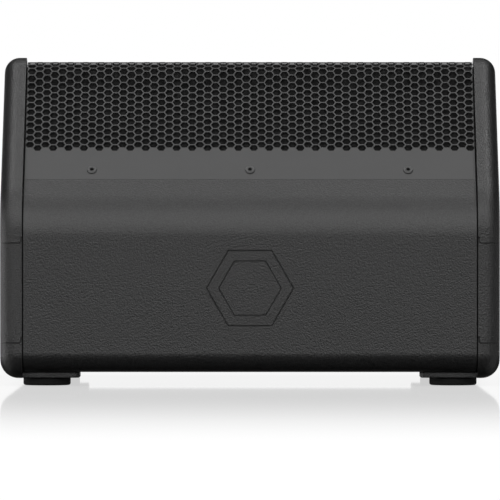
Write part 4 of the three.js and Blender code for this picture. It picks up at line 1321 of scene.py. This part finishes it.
def cone():
    """The paper cone, its flare slightly curved, with two shallow stiffening rings."""
    upper, lower = [], []
    inner, outer, steps = 26.8, 118, 60
    for i in range(steps + 1):
        share = i / steps
        radius = inner + (outer - inner) * share
        height = -55.5 + 60.1 * share ** 1.12
        for middle in (0.45, 0.72):
            height += 0.5 * math.exp(-((share - middle) / 0.018) ** 2)
        upper.append((radius, height))
        lower.append((radius, height - 1.6))
    paper = turned("cone_paper_shell", upper + lower[::-1] + [upper[0]], 96, DRIVER)
    piece(paper, "cone_paper", ["woofer_cone"], CONE_BODY, 60)


def curved(points):
    """A smooth row of points through the given ones."""
    ends, steps = [points[0]] + points + [points[-1]], 6
    found = []
    for before, a, b, after in zip(ends, ends[1:], ends[2:], ends[3:]):
        before, a, b, after = Vector(before), Vector(a), Vector(b), Vector(after)
        for i in range(steps):
            t = i / steps
            place = a + (b - before) * t / 2 + (before - 2.5 * a + 2 * b - after / 2) * t * t
            place += (1.5 * (a - b) + (after - before) / 2) * t ** 3
            found.append(tuple(place))
    return found + [points[-1]]


def horn():
    """The treble horn, its throat and flare one smooth curve."""
    inside = curved([(12.8, -84.7), (13.4, -62), (22, -37), (36, -20), (50, -11)])
    outside = curved([(38, -22.6), (22, -43), (17, -62), (17, -81)])
    rim_edge = [(51.3, -11.0), (52, -11.8), (51.6, -12.9)]
    profile = inside + rim_edge + outside + [(21, -81), (21, -84.7), (12.8, -84.7)]
    piece(turned("horn_flare", profile, 96, DRIVER), "black_plastic", ["hf_horn"])


def basket():
    """The cast basket: a flange, four spokes around big windows, and a seat for the magnet."""
    profile = [(155, 5), (155, 0.3), (141.5, 0.3), (141.5, -8), (75, -64.5), (63, -64.5), (63, -85),
               (28.5, -85), (28.5, -82), (60, -82), (60, -61.5), (73.5, -61.5), (137, -7), (137, 5),
               (155, 5)]
    frame_ring = turned("cast_basket", profile, 96)
    for quarter in range(4):
        window = block("window", (84, -40, -56), (126, 40, -17))
        window.data.transform(Matrix.Rotation(math.radians(45 + 90 * quarter), 4, "Z"))
        cut(frame_ring, window)
    bevelled(frame_ring, 0.5)
    frame_ring.data.transform(DRIVER)
    piece(frame_ring, "cast_alloy", ["woofer_basket"])


def ports():
    """The two bass ports, each mouth rounded over into its flange."""
    profile = [(25.5, -60), (28.5, -60), (28.5, 0.3), (34, 0.3), (34, 2.0), (33.2, 2.8)]
    profile += arc(28, 0.3, 2.5, 0, -90, 6)
    for side, name in ((-1, "left"), (1, "right")):
        place = DRIVER @ Matrix.Translation((side * PORT_X, PORT_Y, 0))
        tube = turned(f"port_{name}", profile + [profile[0]], 72, place)
        piece(tube, "black_plastic", [f"port_tube_{name}"])


def felt():
    """A quilted pad of damping felt."""
    low, high = box("damping_felt")
    columns, rows = 66, 24
    rings = []
    for r in range(rows + 1):
        z = low.z + (high.z - low.z) * r / rows
        front = []
        for c in range(columns + 1):
            x = low.x + (high.x - low.x) * c / columns
            edge = min(x - low.x, high.x - x, z - low.z, high.z - z)
            thick = 1 - 0.55 * math.exp(-edge / 5)
            ruffle = 0.35 * noise.noise(Vector((x, z, 3)) / 12)
            front.append((x, low.y + (high.y - low.y - 0.6) * thick + ruffle, z))
        rings.append(front + [(high.x, low.y, z), (low.x, low.y, z)])
    pad = piece(loft("felt_pad", rings), "felt", ["damping_felt"], angle=60)


surround()
spider()
cone()
horn()
basket()
ports()
felt()

# ------------------------------------------------------------------ camera, floor and light

NEAR_FACE = -HALF_DEPTH * MM
CAMERA_DISTANCE = 6.3
CAMERA_HEIGHT = 0.1677
AIM_HEIGHT = 0.1316
VIEW_WIDTH = 0.4829
SENSOR_WIDTH = 36


def camera():
    data = bpy.data.cameras.new("camera")
    data.sensor_width = SENSOR_WIDTH
    data.lens = SENSOR_WIDTH * CAMERA_DISTANCE / VIEW_WIDTH
    data.clip_end = 100
    obj = bpy.data.objects.new("camera", data)
    obj.location = (0, NEAR_FACE - CAMERA_DISTANCE, CAMERA_HEIGHT)
    aim = Vector((0, NEAR_FACE, AIM_HEIGHT)) - obj.location
    obj.rotation_euler = aim.to_track_quat("-Z", "Y").to_euler()
    bpy.context.scene.collection.objects.link(obj)
    bpy.context.scene.camera = obj


def floor():
    """A pale floor that mirrors what stands on it at a low view, less and less further out."""
    size = 30.0
    points = [(-size, -size, 0), (size, -size, 0), (size, size, 0), (-size, size, 0)]
    plane = from_points("floor", points, [(0, 1, 2, 3)])
    material = bpy.data.materials.new("floor")
    material.use_nodes = True
    tree = Tree(material.node_tree)
    tree.nodes.clear()
    place = tree.add("ShaderNodeTexCoord")
    distance = tree.add("ShaderNodeVectorMath", {0: place.outputs["Object"]}, operation="LENGTH")
    fade = tree.ramp(distance.outputs["Value"], 0.36, 0.0, 0.5, 1.85, "SMOOTHSTEP")
    facing = tree.add("ShaderNodeLayerWeight", {"Blend": 0.5})
    low_view = tree.ramp(facing.outputs["Facing"], 0.0, 1.0, 0.86, 0.93)
    white = tree.add("ShaderNodeEmission", {"Color": (1, 1, 1, 1), "Strength": 1.03})
    matt = tree.add("ShaderNodeBsdfDiffuse", {"Color": (0.8, 0.8, 0.8, 1)})
    mirror = tree.add("ShaderNodeBsdfAnisotropic", {"Color": (1, 1, 1, 1), "Roughness": 0.04})
    paper = tree.add("ShaderNodeMixShader", {"Fac": 0.1, 1: white.outputs[0], 2: matt.outputs[0]})
    mix = tree.add("ShaderNodeMixShader", {"Fac": tree.math("MULTIPLY", fade, low_view),
                                           1: paper.outputs[0], 2: mirror.outputs[0]})
    tree.add("ShaderNodeOutputMaterial", {"Surface": mix.outputs[0]})
    plane.data.materials.append(material)
    plane.visible_diffuse = False
    plane.visible_glossy = False
    plane.visible_transmission = False


# The studio's softboxes, seen from the object: (azimuth, half width, elevation, half height, radiance),
# in degrees, azimuth 0 straight in front of the emblem panel and 90 on its right.
SOFTBOXES = (
    (0, 180, 1.5, 2.5, 1.0),        # horizon all round
    (0, 50, 10, 6, 3.1),            # four steps of one tall front panel
    (0, 50, 23, 7, 2.0),
    (0, 50, 37, 7, 3.8),
    (0, 60, 52, 8, 1.4),
    (0, 180, 82, 8, 1.55),          # overhead
    (-90, 30, 67, 7, 8.9),          # high side strips
    (90, 30, 67, 7, 8.9),
    (-67, 17, 22, 18, 1.1),         # fill beside the front panel
    (-105, 22, -4, 10, 2.7),        # low kicker on the left
    (90, 30, -14, 11, 0.35),        # glow of the floor on both sides
    (-90, 30, -14, 11, 0.35),
    (90, 35, -40, 15, 0.5),
    (-90, 35, -40, 15, 0.5),
    (180, 40, -30, 12, 0.1),        # the same behind, and a panel above it
    (180, 60, 60, 10, 1.0),
)
SOFT_EDGE = 5.0
AMBIENT = 0.03


def studio():
    """A dark dome with softboxes, and plain white behind the object."""
    world = bpy.data.worlds.new("studio")
    bpy.context.scene.world = world
    world.use_nodes = True
    tree = Tree(world.node_tree)

    def band(angle, middle, half):
        """1 within half of middle, 0 further out, with a soft edge; degrees."""
        turned_by = tree.math("MODULO", tree.math("ADD", angle, 540.0 - middle), 360.0)
        away = tree.math("ABSOLUTE", tree.math("SUBTRACT", turned_by, 180.0))
        soft = min(SOFT_EDGE, half)
        return tree.ramp(away, 1.0, 0.0, half - soft / 2, half + soft / 2, "SMOOTHSTEP")

    place = tree.add("ShaderNodeTexCoord")
    split = tree.add("ShaderNodeSeparateXYZ", {"Vector": place.outputs["Generated"]})
    x, y, z = (split.outputs[axis] for axis in "XYZ")
    azimuth = tree.math("DEGREES", tree.math("ARCTAN2", x, tree.math("MULTIPLY", y, -1.0)))
    elevation = tree.math("DEGREES", tree.math("ARCSINE", z))
    total = tree.math("MULTIPLY", tree.math("GREATER_THAN", z, 0.0), AMBIENT)
    for centre, half_width, height, half_height, radiance in SOFTBOXES:
        across = band(azimuth, centre, half_width) if half_width < 180 else 1.0
        box_light = tree.math("MULTIPLY", across, band(elevation, height, half_height))
        total = tree.math("ADD", total, tree.math("MULTIPLY", box_light, radiance))
    dome = tree.add("ShaderNodeBackground", {"Strength": total})
    seen = tree.nodes["Background"]
    tree.put((1, 1, 1, 1), seen.inputs["Color"])
    tree.put(1.0, seen.inputs["Strength"])
    path = tree.add("ShaderNodeLightPath")
    mix = tree.add("ShaderNodeMixShader", {"Fac": path.outputs["Is Camera Ray"],
                                           1: dome.outputs[0], 2: seen.outputs[0]})
    tree.put(mix.outputs[0], tree.nodes["World Output"].inputs["Surface"])
    bpy.context.scene.view_settings.view_transform = "Standard"


camera()
floor()
studio()
